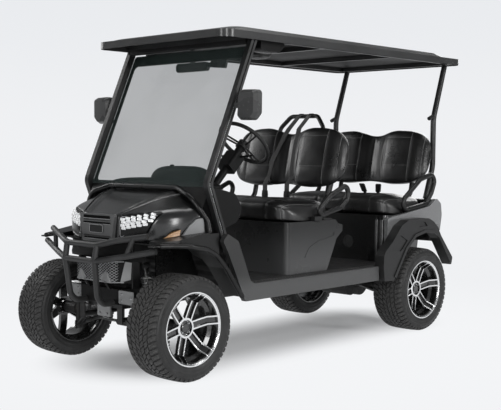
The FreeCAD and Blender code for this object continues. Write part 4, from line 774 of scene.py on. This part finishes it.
rounded_shell("front_cowl", 0.0055, 28, cowl_paint, "chassis")
dress(moulded("wedge_grey", 0.24, 0.42, 0.03), "cowl_side_trims")
cowl_hull = hull_of("front_cowl")
creases = []
crease_in, crease_spread, crease_front, crease_run = 0.166, 0.166, front_axle - 0.128, 0.300
for side in (1, -1):
    path = []
    for share in np.linspace(0, 1, 25):
        out = crease_in + crease_spread * share ** 0.92
        above = Vector((side * out, crease_front + crease_run * share, 1.4))
        path.append(cowl_hull.ray_cast(above, -rise_up)[0] + rise_up * 0.0008)
    creases.append(loft(tube_rings(path, 0.0066, 10)))
skin("cowl_creases", *join(*creases), cowl_paint, "chassis", "body_paint", 60.0)
grille_satin = moulded("grille_satin", 0.078, 0.34, 0.02, 0.0002)
dress(grille_satin, "grille")
grille_front, slot_depth = front_axle - 0.1688, 0.0015
bars, edges = [], []
for z, half, tall in ((0.760, 0.112, 0.0060), (0.8465, 0.122, 0.0060), (0.879, 0.118, 0.0095)):
    ring = [(-half, z - tall), (half, z - tall), (half + 0.003, z), (half, z + tall), (-half, z + tall),
            (-half - 0.003, z)]
    bars.append(loft([[Vector((x, grille_front + deep, level_z)) for x, level_z in ring]
                      for deep in (slot_depth, 0)]))
    edges.append(loft(tube_rings([Vector((x, grille_front, z - tall)) for x in (-half, 0, half)], 0.0016, 6)))
# The slots are painted matte near-black: painted shade standing in for their depth.
skin("grille_slots", *join(*bars), moulded("slot_shade_black", 0.002, 0.7, 0.0, 0.0002, gloss=0.05),
     "chassis", "trim_plastic", 20.0)

plate_middle = Vector((0, front_axle - 0.1705, 0.8135))
plate_wide, plate_tall = sideways * 0.060, rise_up * 0.0225
plate_profile = ((1.0, 0.000), (1.0, 0.0016), (0.985, 0.0024), (0.955, 0.0024), (0.945, 0.0010),
                 (0.5, 0.0014))
plate = [soft_ring(plate_middle - rearward * out, plate_wide * (1 - (1 - reach) * 0.5), plate_tall * reach,
                   (0.22, 0.22), 48, 0.5) for reach, out in plate_profile]
skin("bare_badge_plate", *loft(plate), moulded("plate_black", 0.004, 0.35, 0.0, 0.0001, gloss=0.25),
     "chassis", "trim_plastic", 25.0)
# Light grey tubes along each slot's lower edge and round the badge plate: painted highlights on those edges.
rim_line = [point - rearward * 0.0008 for point in plate[2]]
edges.append(loft(tube_rings(rim_line + rim_line[:1], 0.0013, 6)))
highlight_grey = moulded("grille_edge_grey", 0.30, 0.30, 0.02, 0.0002)
skin("grille_edges", *join(*edges), highlight_grey, "chassis", "trim_plastic", 50.0)

# Headlamps and markers: black housings with a thin light grey rim that paints the highlight along the lamp's
# edge, each with rows of small reflector cups round its diodes above a dark lower lens, and a little amber
# marker behind it.

dress(moulded("lamp_housing_black", 0.003, 0.24, 0.02, 0.0001, gloss=0.25), "headlamps")
dress(prism_lens("amber_prism_lens", (0.62, 0.37, 0.18, 1), (0.36, 0.20, 0.09, 1), 0.005), "turn_markers")


def reflector_material():
    """Bright plating broken into small facets, with a painted glow: emission that stands in for light the
    cups reflect.
    """
    material, shader, place = finish("reflector_cup", {"Coat Weight": 1.0, "Coat Roughness": 0.05,
                                                       "Emission Strength": 0.5})
    fleck = place.cells(340.0, output=1).parts()[0]
    fleck.blend(grey(0.45, 0.02), grey(0.97, 0.02)).into(shader, "Base Color")
    # Painted glow: emission in the facet pattern, standing in for reflected light.
    fleck.blend(grey(0.05, 0.02), grey(0.60, 0.02)).into(shader, "Emission Color")
    (fleck * 0.15 + 0.1).into(shader, "Roughness")
    (fleck * 0.4 + 0.1).into(shader, "Metallic")
    place.noise(260.0, 2.0).bump(0.0008).into(shader, "Normal")
    return material


def cup(middle, wide, tall, normal):
    """A reflector cup: a square rim that falls to a dish with a clear dome in its middle."""
    across_cup = (sideways - normal * normal.x).normalized()
    up_cup = normal.cross(across_cup)
    if up_cup.z < 0:
        up_cup.negate()
    profile = ((1.0, -0.001, 0.35), (1.0, 0.0016, 0.35), (0.86, 0.0024, 0.35), (0.74, 0.0008, 0.5),
               (0.46, 0.0004, 0.8), (0.40, 0.0026, 1.0), (0.22, 0.0038, 1.0), (0.02, 0.0041, 1.0))
    return loft([soft_ring(middle + normal * out, across_cup * wide * reach, up_cup * tall * reach,
                           (power, power), 16, 0.5) for reach, out, power in profile])


def rounded(corners, radius):
    """An outline whose corners are rounded off."""
    steps = 5
    outline = []
    for index, corner in enumerate(corners):
        corner = Vector(corner)
        before = (Vector(corners[index - 1]) - corner).normalized() * radius
        after = (Vector(corners[(index + 1) % len(corners)]) - corner).normalized() * radius
        for step in range(steps + 1):
            share = step / steps
            outline.append(corner + before * (1 - share) ** 2 + after * share ** 2)
    return outline


cup_bright = reflector_material()
lamp_hull = hull_of("headlamps")
cup_rows, cup_columns, row_drop, row_climb = 4, 6, 0.0168, 0.20
for side, label in SIDES:
    cups = []
    for row in range(cup_rows):
        for column in range(cup_columns):
            x = 0.182 + 0.203 * (column + 0.5 + 0.18 * (row % 2)) / 6.3
            hit, normal = from_front(lamp_hull, side * x, 0.868 + row_climb * (x - 0.172) - row_drop * row)
            if hit:
                cups.append(cup(hit, 0.0150, 0.0080, normal))
    skin("diode_cups_" + label, *join(*cups), cup_bright, "chassis", "lamp_lens", 30.0)
    # The rim's light grey tube paints the highlight along the lamp's edge.
    rim_path = []
    for x, z in rounded([(0.180, 0.772), (0.384, 0.842), (0.388, 0.902), (0.180, 0.886)], 0.018):
        hit, normal = from_front(lamp_hull, side * x, z)
        if hit:
            rim_path.append(hit + normal * 0.0008)
    skin("lamp_rim_" + label, *loft(tube_rings(rim_path + rim_path[:1], 0.0017, 6)), highlight_grey,
         "chassis", "lamp_lens")

# The brush guard: bent steel tube with a coarse black powder coat, bolted to the front beam, over
# the beam's grey end plates, a grey tow plate, and the lower valance with its mesh, its flaps and
# the splash shield behind it.

guard_coat = powder_coat("guard_powder_coat", 0.016, 0.42, 0.0006)
dress(guard_coat, "brush_guard")
plate_grey = moulded("plate_grey", 0.20, 0.44)
dress(plate_grey, "beam_end_plates", "tow_plate")
valance_black = moulded("valance_black", 0.003, 0.5, 0.0, 0.0003, gloss=0.15)
dress(valance_black, "front_valance")
valance_front, flat_half, wing_reach = front_axle - 0.1905, 0.150, 0.123


def along_valance(out, z):
    """A point on the valance's mesh: across its flat middle, then back along its wings."""
    past = min(max(abs(out) - flat_half, 0), wing_reach)
    if past == 0:
        return Vector((out, valance_front, z))
    return Vector((math.copysign(flat_half + past * 0.687, out), valance_front + past * 0.727, z))


strips = []
mesh_low, mesh_high, mesh_half, mesh_pitch, mesh_run_out = 0.519, 0.636, 0.226, 0.0250, 0.19
for lean in (0.62, -0.62):
    start = -mesh_half - mesh_run_out
    while start < mesh_half + mesh_run_out:
        wire = [along_valance(out, mesh_low + (out - start) * lean)
                for out in np.linspace(-mesh_half, mesh_half, 73)
                if mesh_low <= mesh_low + (out - start) * lean <= mesh_high]
        if len(wire) > 1:
            bends = [point for point in wire[1:-1] if abs(abs(point.x) - flat_half) < 0.0033]
            strips.append(loft(tube_rings([wire[0], *bends, wire[-1]], 0.0015, 4)))
        start += mesh_pitch
for z in (mesh_low, mesh_high):
    edge = [along_valance(out, z) for out in (-mesh_half, -flat_half, flat_half, mesh_half)]
    strips.append(loft(tube_rings(edge, 0.0032, 6)))
mesh_steel = powder_coat("mesh_coat", 0.20, 0.34, 0.0002)
skin("valance_mesh", *join(*strips), mesh_steel, "chassis", "black_frame", 20.0)

flaps = []
low_flap = ((0.172, 0.532), (0.110, 0.582), (0.060, 0.536), (0.085, 0.524), (0.150, 0.521))
wing_flap = ((0.205, 0.520), (0.264, 0.535), (0.270, 0.630), (0.232, 0.636))
for side in (1, -1):
    wing_thick = Vector((-side * 0.003, 0.003, 0))
    for outline, proud, thick in ((low_flap, rearward * -0.0065, rearward * 0.0035),
                                  (wing_flap, -wing_thick, wing_thick)):
        front = [along_valance(side * x, z) + proud for x, z in outline]
        flaps.append(loft([front, [point + thick for point in front]]))
skin("valance_flaps", *join(*flaps), plate_grey, "chassis", "grey_plastic", 20.0)

shield_profile = ((-0.132, 0.638), (-0.136, 0.660), (-0.124, 0.700), (-0.128, 0.735), (-0.116, 0.756))
shield_half, shield_thick, shield_bow = 0.335, 0.003, 0.35
shield = []
for x in np.linspace(-shield_half, shield_half, 17):
    face = [Vector((x, front_axle + y + shield_bow * x * x, z)) for y, z in shield_profile]
    shield.append(face + [point + rearward * shield_thick for point in face[::-1]])
skin("splash_shield", *loft(shield), valance_black, "chassis", "black_frame", 50.0)

fasteners = []
beam_hull = hull_of("beam_end_plates")
plate_hull = hull_of("tow_plate")
for side in (1, -1):
    for x, z, hull in ((0.200, 0.420, beam_hull), (0.200, 0.455, beam_hull), (0.280, 0.437, beam_hull),
                       (0.032, 0.325, plate_hull), (0.032, 0.368, plate_hull)):
        hit, normal = from_front(hull, side * x, z)
        if hit:
            fasteners.append(hex_bolt(hit, normal, 0.0058))
skin("front_fasteners", *join(*fasteners), raw_steel("plated_fastener", 0.40, 0.3),
     "chassis", "bright_steel", 30.0)

# The dashboard and steering: grained black mouldings with soft hoods on top, a column, a
# thick-rimmed wheel covered in soft vinyl, and two rubber-faced pedals hung below.

dash_plastic = moulded("dash_plastic", 0.005, 0.44, 0.02, 0.0004, gloss=0.12)


def mound(x, y, z, half_x, half_y, rise):
    """A soft-cornered hood on the dashboard, from its foot up to a nearly flat crown."""
    rings = []
    for step in range(9):
        climb = math.pi / 2 * step / 8
        reach = max(math.cos(climb), 0.002) ** 0.5
        middle = Vector((x, front_axle + y, z + rise * math.sin(climb)))
        rings.append(soft_ring(middle, sideways * half_x * reach, rearward * half_y * reach, (0.6, 0.6), 40))
    return loft(rings)


hoods = (mound(0, 0.330, 1.036, 0.490, 0.092, 0.058), mound(0.150, 0.345, 1.070, 0.235, 0.085, 0.098),
         mound(0.118, 0.300, 1.160, 0.013, 0.013, 0.016))
skin("dash_hood", *join(*hoods), dash_plastic, "chassis", "trim_plastic", 60.0)
dress(dash_plastic, "dashboard", "steering_column", "pedals")
dress(moulded("wheel_grip", 0.008, 0.46, 0.0, 0.0006, 700.0), "steering_wheel")

# The windscreen and its hoop: one lightly tinted sheet in a rubber edge, filled in at its foot,
# between struts of painted steel tube that also carry the roof and have a row of bright studs.

def tinted_sheet():
    """Clear plastic sheet with a light grey-green tint and a faint haze."""
    material, shader, place = finish("tinted_screen", {"Roughness": 0.04, "IOR": 1.49})
    haze = place.noise(2.0, 3.0).ramp(0.3, 0.7)
    haze.blend((0.036, 0.052, 0.049, 1), (0.050, 0.066, 0.063, 1)).into(shader, "Base Color")
    haze.ramp(0, 1, 0.30, 0.33).into(shader, "Alpha")
    return material


dress(tinted_sheet(), "windscreen")
screen_rubber = moulded("screen_rubber", 0.004, 0.42, 0.0, 0.0003, gloss=0.15)
dress(screen_rubber, "screen_trim")
strut_paint = powder_coat("strut_paint", 0.011, 0.32, 0.0002)
dress(strut_paint, "front_struts", "rear_struts")
dress(moulded("hoop_trim", 0.006, 0.26, 0.03, 0.0002), "cowl_hoop")
upper_edge = ((0.30, 0.196, 1.0530), (0.38, 0.198, 1.0535), (0.46, 0.200, 1.0545), (0.510, 0.204, 1.0560),
              (0.528, 0.214, 1.0500))
lower_edge = ((0.30, 0.150, 1.0420), (0.38, 0.144, 1.0230), (0.450, 0.134, 0.9960), (0.492, 0.140, 0.9520),
              (0.512, 0.158, 0.9150))
filler_thick = Vector((0, 0.004, -0.0016))
fillers = []
for side in (1, -1):
    outline = [Vector((side * x, front_axle + y, z)) for x, y, z in upper_edge + lower_edge[::-1]]
    fillers.append(loft([outline, [point + filler_thick for point in outline]]))
skin("screen_foot_fillers", *join(*fillers), screen_rubber, "chassis", "trim_plastic", 40.0)
stud_bright = raw_steel("strip_stud", 0.85, 0.3)
stud_pitch, strip_out = 0.0115, 0.5506
strip_route = ((0.318, 0.735), (0.209, 1.013), (0.1935, 1.062), (0.1935, 1.090), (0.209, 1.126),
               (0.545, 1.866))
stud_profile = ((0, 0.0031), (0.0009, 0.0027), (0.0014, 0.0008))
for side, label in SIDES:
    route = [Vector((side * strip_out, front_axle + y, z)) for y, z in strip_route]
    studs = []
    for start, stop in zip(route[:-1], route[1:]):
        length = (stop - start).length
        for step in range(max(1, int(length / stud_pitch))):
            middle = start.lerp(stop, step * stud_pitch / length)
            studs.append(loft([soft_ring(middle + sideways * side * out, rearward * reach,
                                         rise_up * reach, count=8) for out, reach in stud_profile]))
    skin("strut_studs_" + label, *join(*studs), stud_bright, "chassis", "bright_steel", 60.0)

# The roof: a thin crowned shell of black plastic with a rolled rim, on a tube frame, with a moulded
# header, two speaker pods and a perforated dome under it.

def roof_plastic():
    """Glossy above and on the rim, with a lighter base there as painted highlight, and a dull black underside
    painted darker as shade.
    """
    material, shader, place = finish("roof_plastic", {"Specular IOR Level": 0.06, "Coat Roughness": 0.24})
    facing = Wire(material.node_tree.nodes.new("ShaderNodeNewGeometry").outputs["Normal"])
    upper_gloss_and_painted_light = facing.parts()[2].ramp(-0.6, -0.15)
    cloud = place.noise(3.0, 4.0).ramp(0.3, 0.7)
    top = cloud.blend(grey(0.026, 0.02), grey(0.036, 0.02))
    # Painted light and shade: the base colour is lighter on faces that look up or out, and darker on the
    # underside.
    upper_gloss_and_painted_light.blend(cloud.blend(grey(0.0015), grey(0.003)), top).into(shader, "Base Color")
    (upper_gloss_and_painted_light * (cloud * 0.2 + 0.7)).into(shader, "Coat Weight")
    (cloud * 0.08 + 0.5).into(shader, "Roughness")
    place.cells(430.0, "SMOOTH_F1").bump(0.0003).into(shader, "Normal")
    return material


dress(roof_plastic(), "roof")
dress(frame_coat, "roof_frame")
dress(moulded("header_plastic", 0.005, 0.42, 0.02, 0.0003, gloss=0.14), "roof_header", "roof_speakers")


def perforated(name, shade, pitch):
    """A plastic grille drilled in a square pattern: the holes sink, and are painted near-black as painted
    shade.
    """
    material, shader, place = finish(name, {"Specular IOR Level": 0.35})
    x, y, z = place.parts()
    across_hole = place.maths("PINGPONG", x, pitch / 2) * (2 / pitch) - 0.5
    along_hole = place.maths("PINGPONG", y + z * 0.8, pitch / 2) * (2 / pitch) - 0.5
    solid = (across_hole * across_hole + along_hole * along_hole).ramp(0.03, 0.07)
    # Painted shade: the holes are painted near-black.
    solid.blend(grey(0.001), grey(shade)).into(shader, "Base Color")
    solid.ramp(0, 1, 0.9, 0.42).into(shader, "Roughness")
    solid.bump(0.0012).into(shader, "Normal")
    return material


grille_holes = perforated("speaker_grille", 0.05, 0.0085)
speaker_hull = hull_of("roof_speakers")
grille_profile = ((1.0, -0.0005), (1.0, 0.0022), (0.95, 0.0034), (0.5, 0.0052), (0.02, 0.0058))
for side, label in SIDES:
    rings = []
    for reach, out in grille_profile:
        below = soft_ring(Vector((side * 0.464, front_axle + 0.728, 1.6)), sideways * side * 0.043 * reach,
                          rearward * 0.066 * reach, (0.7, 0.7))
        hits = [speaker_hull.ray_cast(point, rise_up)[:2] for point in below]
        rings.append([hit + normal * out for hit, normal in hits])
    skin("roof_speaker_grille_" + label, *loft(rings), grille_holes, "chassis", "trim_plastic", 40.0)

dome_middle = Vector((0, front_axle + 1.18, 1.8985))
dome_profile = ((1.0, 0.0), (1.0, 0.010), (0.94, 0.014), (0.88, 0.015), (0.86, 0.022), (0.6, 0.030),
                (0.02, 0.033))
dome = [soft_ring(dome_middle - rise_up * out, sideways * 0.085 * reach, rearward * 0.055 * reach, (0.6, 0.6))
        for reach, out in dome_profile]
skin("roof_dome", *loft(dome), grille_holes, "chassis", "trim_plastic")

# Mirrors: black plastic housings on short arms, clamped to the struts, and one wide mirror inside,
# under the header; each has silvered glass set into its rear face.

mirror_shell = moulded("mirror_shell", 0.045, 0.28, 0.02, 0.0002)
dress(mirror_shell, "side_mirrors", "inside_mirror")


def mirror_face(name, outline, y):
    """A silvered glass with a ground edge, set just proud of its housing and facing the rear."""
    middle = sum(outline, Vector((0, 0))) / len(outline)
    rings = []
    for reach, out in ((1.0, -0.0005), (1.0, 0.0012), (0.975, 0.0018), (0.5, 0.0019)):
        eased = [middle + (point - middle) * reach for point in outline]
        rings.append([Vector((point.x, front_axle + y + out, point.y)) for point in eased])
    skin(name, *loft(rings), silvered, "chassis", "bright_steel", 20.0)


def mirror_silver():
    """Silver behind glass, with a thin film of dust."""
    material, shader, place = finish("mirror_silver", {"Metallic": 1.0})
    film = place.noise(12.0, 4.0).ramp(0.4, 0.8)
    film.blend(grey(0.80, 0.02), grey(0.72, 0.03)).into(shader, "Base Color")
    (film * 0.05 + 0.02).into(shader, "Roughness")
    return material


silvered = mirror_silver()
side_glass = rounded(((0.592, 1.446), (0.684, 1.444), (0.713, 1.474), (0.714, 1.588), (0.602, 1.590)), 0.016)
inside_glass = rounded(((-0.132, 1.752), (0.132, 1.752), (0.132, 1.793), (-0.132, 1.793)), 0.015)
for side, label in SIDES:
    mirror_face("mirror_glass_" + label, [Vector((side * x, z)) for x, z in side_glass], 0.424)
mirror_face("mirror_glass_inside", inside_glass, 0.590)

# The seats: benches of moulded foam in black vinyl, sewn in panels with light piping whose grey is partly a
# painted highlight along the seams, so that each back has two padded places with a hollow between them and a
# fat bolster at each end.

def seat_vinyl():
    """Marine vinyl: a fine leather grain, soft creases and a low gloss that varies a little."""
    material, shader, place = finish("seat_vinyl", {"Specular IOR Level": 0.5})
    pebble = place.cells(640.0, "SMOOTH_F1")
    crease = place.noise(34.0, 4.0).ramp(0.42, 0.75)
    cloud = place.noise(6.0, 3.0).ramp(0.3, 0.7)
    cloud.blend(grey(0.008), grey(0.013)).into(shader, "Base Color")
    (cloud.ramp(0, 1, 0.27, 0.34) + crease * 0.04).into(shader, "Roughness")
    (pebble * 0.25 + crease * 0.12).bump(0.0006).into(shader, "Normal")
    return material


vinyl = seat_vinyl()
# The piping's light grey is partly its own colour and partly a painted highlight along the seams.
piping_material = moulded("piping_grey_and_highlight", 0.15, 0.40, 0.0, 0.0003, 900.0)
SEAMS = (0.118, 0.345, 0.448)
SEAT_HALF = 0.500
BACK_FOOT, BACK_MIDDLE, BACK_TALL, BACK_THICK, BACK_LEAN = 1.040, 0.1950, 0.408, 0.096, math.radians(13)
BACK_UP = Vector((0, math.sin(BACK_LEAN), math.cos(BACK_LEAN)))
BACK_REAR = Vector((0, math.cos(BACK_LEAN), -math.sin(BACK_LEAN)))
CUSHION_FOOT, CUSHION_TALL = 0.8235, 0.138


def stations():
    """Places across the bench, close together at its ends, with one on every seam."""
    right = list(np.arange(0, SEAMS[0], 0.0118)) + list(np.linspace(SEAMS[0], SEAMS[1], 20))[:-1]
    right += list(np.linspace(SEAMS[1], SEAMS[2], 10))[:-1]
    reach = SEAT_HALF - 0.0003 - SEAMS[2]
    right += [SEAMS[2] + reach * math.sin(math.pi / 2 * step / 9) for step in range(10)]
    return [-x for x in right[:0:-1]] + right


def ease(value, low, high):
    """0 below low, 1 above high, and a soft step between them."""
    share = min(max((value - low) / (high - low), 0.0), 1.0)
    return share * share * (3 - 2 * share)


def back_place(x, turn, seat):
    """A point of a seat back: turn 0 is its top, a quarter its front, a half its bottom."""
    wide = abs(x)
    end = wide / SEAT_HALF
    dip = 1 - ease(wide, 0.0, 0.22)
    hollow = 1 - ease(wide, 0.05, 0.14)
    tall = BACK_TALL * max(1 - end ** 5.5, 0) ** 0.40 - 0.054 * dip
    tall -= 0.012 * (1 - math.cos(3 * (wide - 0.27)))
    thick = BACK_THICK * max(1 - end ** 12, 0) ** 0.5 - 0.016 * hollow
    to_top, to_front = bulge(math.cos(turn), 0.60), bulge(math.sin(turn), 0.56)
    up = BACK_MIDDLE - 0.010 * dip + tall / 2 * to_top
    behind = 0.0525 + 0.006 * hollow - thick / 2 * to_front
    if to_front > 0:
        panel = math.sin(math.pi * min(max((wide - SEAMS[0]) / (SEAMS[1] - SEAMS[0]), 0.0), 1.0))
        roll = 0.030 * ease(wide, 0.350, 0.520) ** 1.3
        behind += to_front * (roll - 0.006 * panel + 0.026 * (1 - ease(wide, 0.0, 0.150)))
    return Vector((x, front_axle + seat, BACK_FOOT)) + BACK_UP * up + BACK_REAR * behind


def cushion_place(x, turn, seat):
    """A point of a cushion: turn 0 is its top, a quarter its front edge, a half its flat base."""
    wide = abs(x)
    end = wide / SEAT_HALF
    low, high = seat
    rise = CUSHION_TALL * max(1 - end ** 8, 0) ** 0.5
    deep = (high - low - 0.012) / 2 * max(1 - end ** 12, 0) ** 0.4
    top = bulge(math.cos(turn), 0.5 if math.cos(turn) > 0 else 0.22)
    ahead = bulge(math.sin(turn), 0.42)
    y = (low + high) / 2 - deep * ahead
    share = (y - low) / (high - low)
    crest = 1 - 0.15 * (1 - ease(wide, 0.02, 0.13)) - 0.10 * ease(share, 0.25, 0.75)
    crest -= 0.07 * math.exp(-((share - 0.62) / 0.3) ** 2)
    z = CUSHION_FOOT + rise / 2 + rise / 2 * top * (crest if top > 0 else 1)
    return Vector((x, front_axle + y, z))


def places_of(piece):
    """Where the points of a piece's mesh are, as rows of numbers."""
    return np.array([vertex.co[:] for vertex in piece.data.vertices])


SWELL_TICKS, SWELL_MOST, END_FADE = 14, 0.009, 0.06


def swell(piece, pinned):
    """Blows the cover up from inside like foam under vinyl: seams hold, and the rest moves a little."""
    rest = places_of(piece)
    held = piece.vertex_groups.new(name="seams")
    held.add([int(index) for index in pinned], 1.0, "REPLACE")
    cloth = piece.modifiers.new("swell", "CLOTH")
    cloth.settings.quality = 4
    cloth.settings.use_pressure = True
    cloth.settings.uniform_pressure_force = 4.0
    cloth.settings.effector_weights.gravity = 0.0
    cloth.settings.vertex_group_mass = "seams"
    cloth.settings.tension_stiffness = 12.0
    cloth.settings.compression_stiffness = 12.0
    cloth.settings.bending_stiffness = 0.4
    cloth.point_cache.frame_end = SWELL_TICKS
    for tick in range(1, SWELL_TICKS + 1):
        scene.frame_set(tick)
    moved = places_of(piece.evaluated_get(bpy.context.evaluated_depsgraph_get())) - rest
    piece.modifiers.remove(cloth)
    piece.vertex_groups.clear()
    scene.frame_set(1)
    towards_end = np.clip((SEAT_HALF - 0.012 - np.abs(rest[:, :1])) / END_FADE, 0, 1)
    moved *= towards_end ** 2 * (3 - 2 * towards_end)
    length = np.linalg.norm(moved, axis=1, keepdims=True)
    moved *= SWELL_MOST * np.tanh(length / SWELL_MOST) / np.maximum(length, 1e-9)
    piece.data.vertices.foreach_set("co", (rest + moved).ravel())


SEAM_HALF, SEAM_REACH = 0.0012, 0.0075
CORD_RADIUS, CROSS_CORD_RADIUS = 0.0019, 0.0014
TURNS = 72


def upholster(node, body, place, seat, cross_seams, depth):
    """One bench cover with its piping, in place of the CAD's plain foam; gives back its surface."""
    rings = [[place(x, 2 * math.pi * step / TURNS, seat) for step in range(TURNS)] for x in stations()]
    cover = skin(node + "_cover", *loft(rings), vinyl, body, "seat_vinyl", 80.0)
    co = places_of(cover)
    normals = np.array([vertex.normal[:] for vertex in cover.data.vertices])
    wide = np.abs(co[:, 0])
    seam = np.zeros(len(co), bool)
    dent = np.zeros(len(co))
    for mark in SEAMS:
        seam |= np.abs(wide - mark) < SEAM_HALF
        dent += depth * np.exp(-((wide - mark) / SEAM_REACH) ** 2)
    panel = (wide > SEAMS[0] - 0.001) & (wide < SEAMS[1] + 0.001)
    for axis, at in cross_seams:
        facing = normals[:, 1] < -0.3 if axis == 2 else normals[:, 2] > 0.3
        near = np.abs(co[:, axis] - at)
        seam |= panel & facing & (near < 0.005)
        dent += depth * np.exp(-(near / SEAM_REACH) ** 2) * panel * facing
    swell(cover, np.nonzero(seam | (normals[:, 2] < -0.9))[0])
    co = places_of(cover)
    ripple = np.array([noise.noise(point * 13.0) + 0.5 * noise.noise(point * 31.0)
                       for point in map(Vector, co)])
    co += normals * (ripple * 0.0007 - dent)[:, None]
    cover.data.vertices.foreach_set("co", co.ravel())
    cover.data.update()
    smooth = cover.modifiers.new("smooth", "SUBSURF")
    smooth.levels = smooth.render_levels = 1
    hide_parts(node)

    hull = BVHTree.FromPolygons(co.tolist(), [polygon.vertices for polygon in cover.data.polygons])
    cords = []
    for side in (1, -1):
        for mark in SEAMS:
            around = [place(side * mark, 2 * math.pi * step / 24, seat) for step in range(24)]
            middle = sum(around, Vector()) / len(around)
            path = []
            for step in range(-10, 33):
                out = place(side * mark, 2 * math.pi * step / TURNS, seat) - middle
                hit = hull.ray_cast(middle + out * 1.8, -out)[0]
                if hit:
                    path.append(hit - out.normalized() * 0.0006)
            cords.append(loft(tube_rings(path, CORD_RADIUS, 6)))
        for axis, at in cross_seams:
            path = []
            for x in np.linspace(SEAMS[0] + 0.002, SEAMS[1] - 0.002, 26):
                if axis == 2:
                    hit, normal = hull.ray_cast(Vector((side * x, -3, at)), rearward)[:2]
                else:
                    hit, normal = hull.ray_cast(Vector((side * x, at, 3)), -rise_up)[:2]
                if hit:
                    path.append(hit - normal * 0.0004)
            cords.append(loft(tube_rings(path, CROSS_CORD_RADIUS, 6)))
    skin(node + "_piping", *join(*cords), piping_material, body, "seat_vinyl")
    return hull


back_seams = ((2, 1.366), (2, 1.162))
upholster("front_seat_cushion", "front_seat_lid", cushion_place, (0.862, 1.372),
          ((1, front_axle + 0.95),), 0.0030)
upholster("rear_seat_cushion", "chassis", cushion_place, (1.936, 2.440),
          ((1, front_axle + 2.02),), 0.0030)
front_back_hull = upholster("front_seat_back", "chassis", back_place, 1.395, back_seams, 0.0013)
upholster("rear_seat_back", "chassis", back_place, 2.375, back_seams, 0.0013)
dress(frame_coat, "seat_frames")

# The lap and shoulder belts: two woven straps that come over the front back from its grab frame
# and run down the hollow to buckles between back and cushion, with short stalks on the rear seat.

def webbing():
    """Woven polyester: fine ribs across the strap and warp threads along it."""
    material, shader, place = finish("belt_webbing", {"Sheen Weight": 0.3, "Specular IOR Level": 0.3})
    x, y, z = place.parts()
    rib_pitch, thread_pitch = 0.0011, 0.0016
    rib = place.maths("PINGPONG", z + y * 0.4, rib_pitch) / rib_pitch
    warp = place.maths("PINGPONG", x, thread_pitch) / thread_pitch
    weave = rib * 0.6 + warp * 0.4
    weave.blend(grey(0.010), grey(0.028)).into(shader, "Base Color")
    weave.ramp(0, 1, 0.62, 0.5).into(shader, "Roughness")
    weave.bump(0.0005).into(shader, "Normal")
    return material


def over_back(x, z):
    """A point of a strap that lies on the front of the front back."""
    hit, normal = front_back_hull.ray_cast(Vector((x, front_axle + 0.9, z)), rearward)[:2]
    return hit + normal * 0.0035


def buckle(name, profile):
    """A buckle and its stalk, from the middle, half width and half depth of each ring."""
    rings = [soft_ring(middle, sideways * wide, rearward * deep, (0.4, 0.5), 16, 0.5)
             for middle, wide, deep in profile]
    skin(name, *loft(rings), buckle_black, "chassis", "trim_plastic", 30.0)


web = webbing()
buckle_black = moulded("buckle_black", 0.014, 0.4)
bar = Vector((0, front_axle + 1.650, 1.503))
web_thick, web_wide = 0.0012, 17.5
first_z, buckle_y = 1.358, front_axle + 1.3845
for label, top_x, marks in (("left", 0.060, ((0.066, 1.345), (0.070, 1.20), (0.072, 1.075))),
                            ("right", -0.030, ((-0.060, 1.345), (-0.105, 1.20), (-0.128, 1.075)))):
    path = [bar + Vector((top_x, 0.012, -0.012)), bar + Vector((top_x, 0.002, 0.018)),
            bar + Vector((top_x, -0.020, 0.004)), Vector((top_x * 1.02, front_axle + 1.520, 1.412))]
    end_x, last_z = marks[-1]
    for z in np.linspace(first_z, last_z, 15):
        x = float(np.interp(-z, [-mark_z for mark_x, mark_z in marks], [mark_x for mark_x, mark_z in marks]))
        path.append(over_back(x, z))
    path += [Vector((end_x, front_axle + 1.386, 1.035)), Vector((end_x, buckle_y, 0.985))]
    strap = tube_rings(path, web_thick, 12, flat=web_wide, face=(0, -1, 0.25))
    skin("belt_" + label, *loft(strap), web, "chassis", "seat_vinyl", 60.0)
    buckle("buckle_" + label, [(Vector((end_x, buckle_y, z)), wide, deep) for z, wide, deep in (
        (0.990, 0.012, 0.003), (0.988, 0.024, 0.0065), (0.960, 0.026, 0.0085), (0.935, 0.024, 0.0085),
        (0.931, 0.014, 0.004), (0.905, 0.012, 0.003), (0.870, 0.012, 0.003))])
for side, label in SIDES:
    foot, stalk = Vector((side * 0.055, front_axle + 2.452, 0.924)), Vector((side * 0.25, -0.30, 1))
    buckle("rear_buckle_" + label, [(foot + stalk * rise, wide, deep) for rise, wide, deep in (
        (0.0, 0.011, 0.004), (0.030, 0.013, 0.005), (0.034, 0.021, 0.010), (0.088, 0.023, 0.011),
        (0.094, 0.018, 0.007))])

# Hip restraints and other thick tube: bent steel under a soft black grip at each end of a bench. A
# sleeve over it, the grab frames and the rear struts gives this tube its coated thickness.

dress(moulded("restraint_grip", 0.010, 0.34), "hip_restraints")
for node, thick in (("hip_restraints", 0.003), ("seat_frames", 0.002), ("rear_struts", 0.003)):
    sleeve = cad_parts[node].modifiers.new("sleeve", "DISPLACE")
    sleeve.mid_level = 0.0
    sleeve.strength = thick
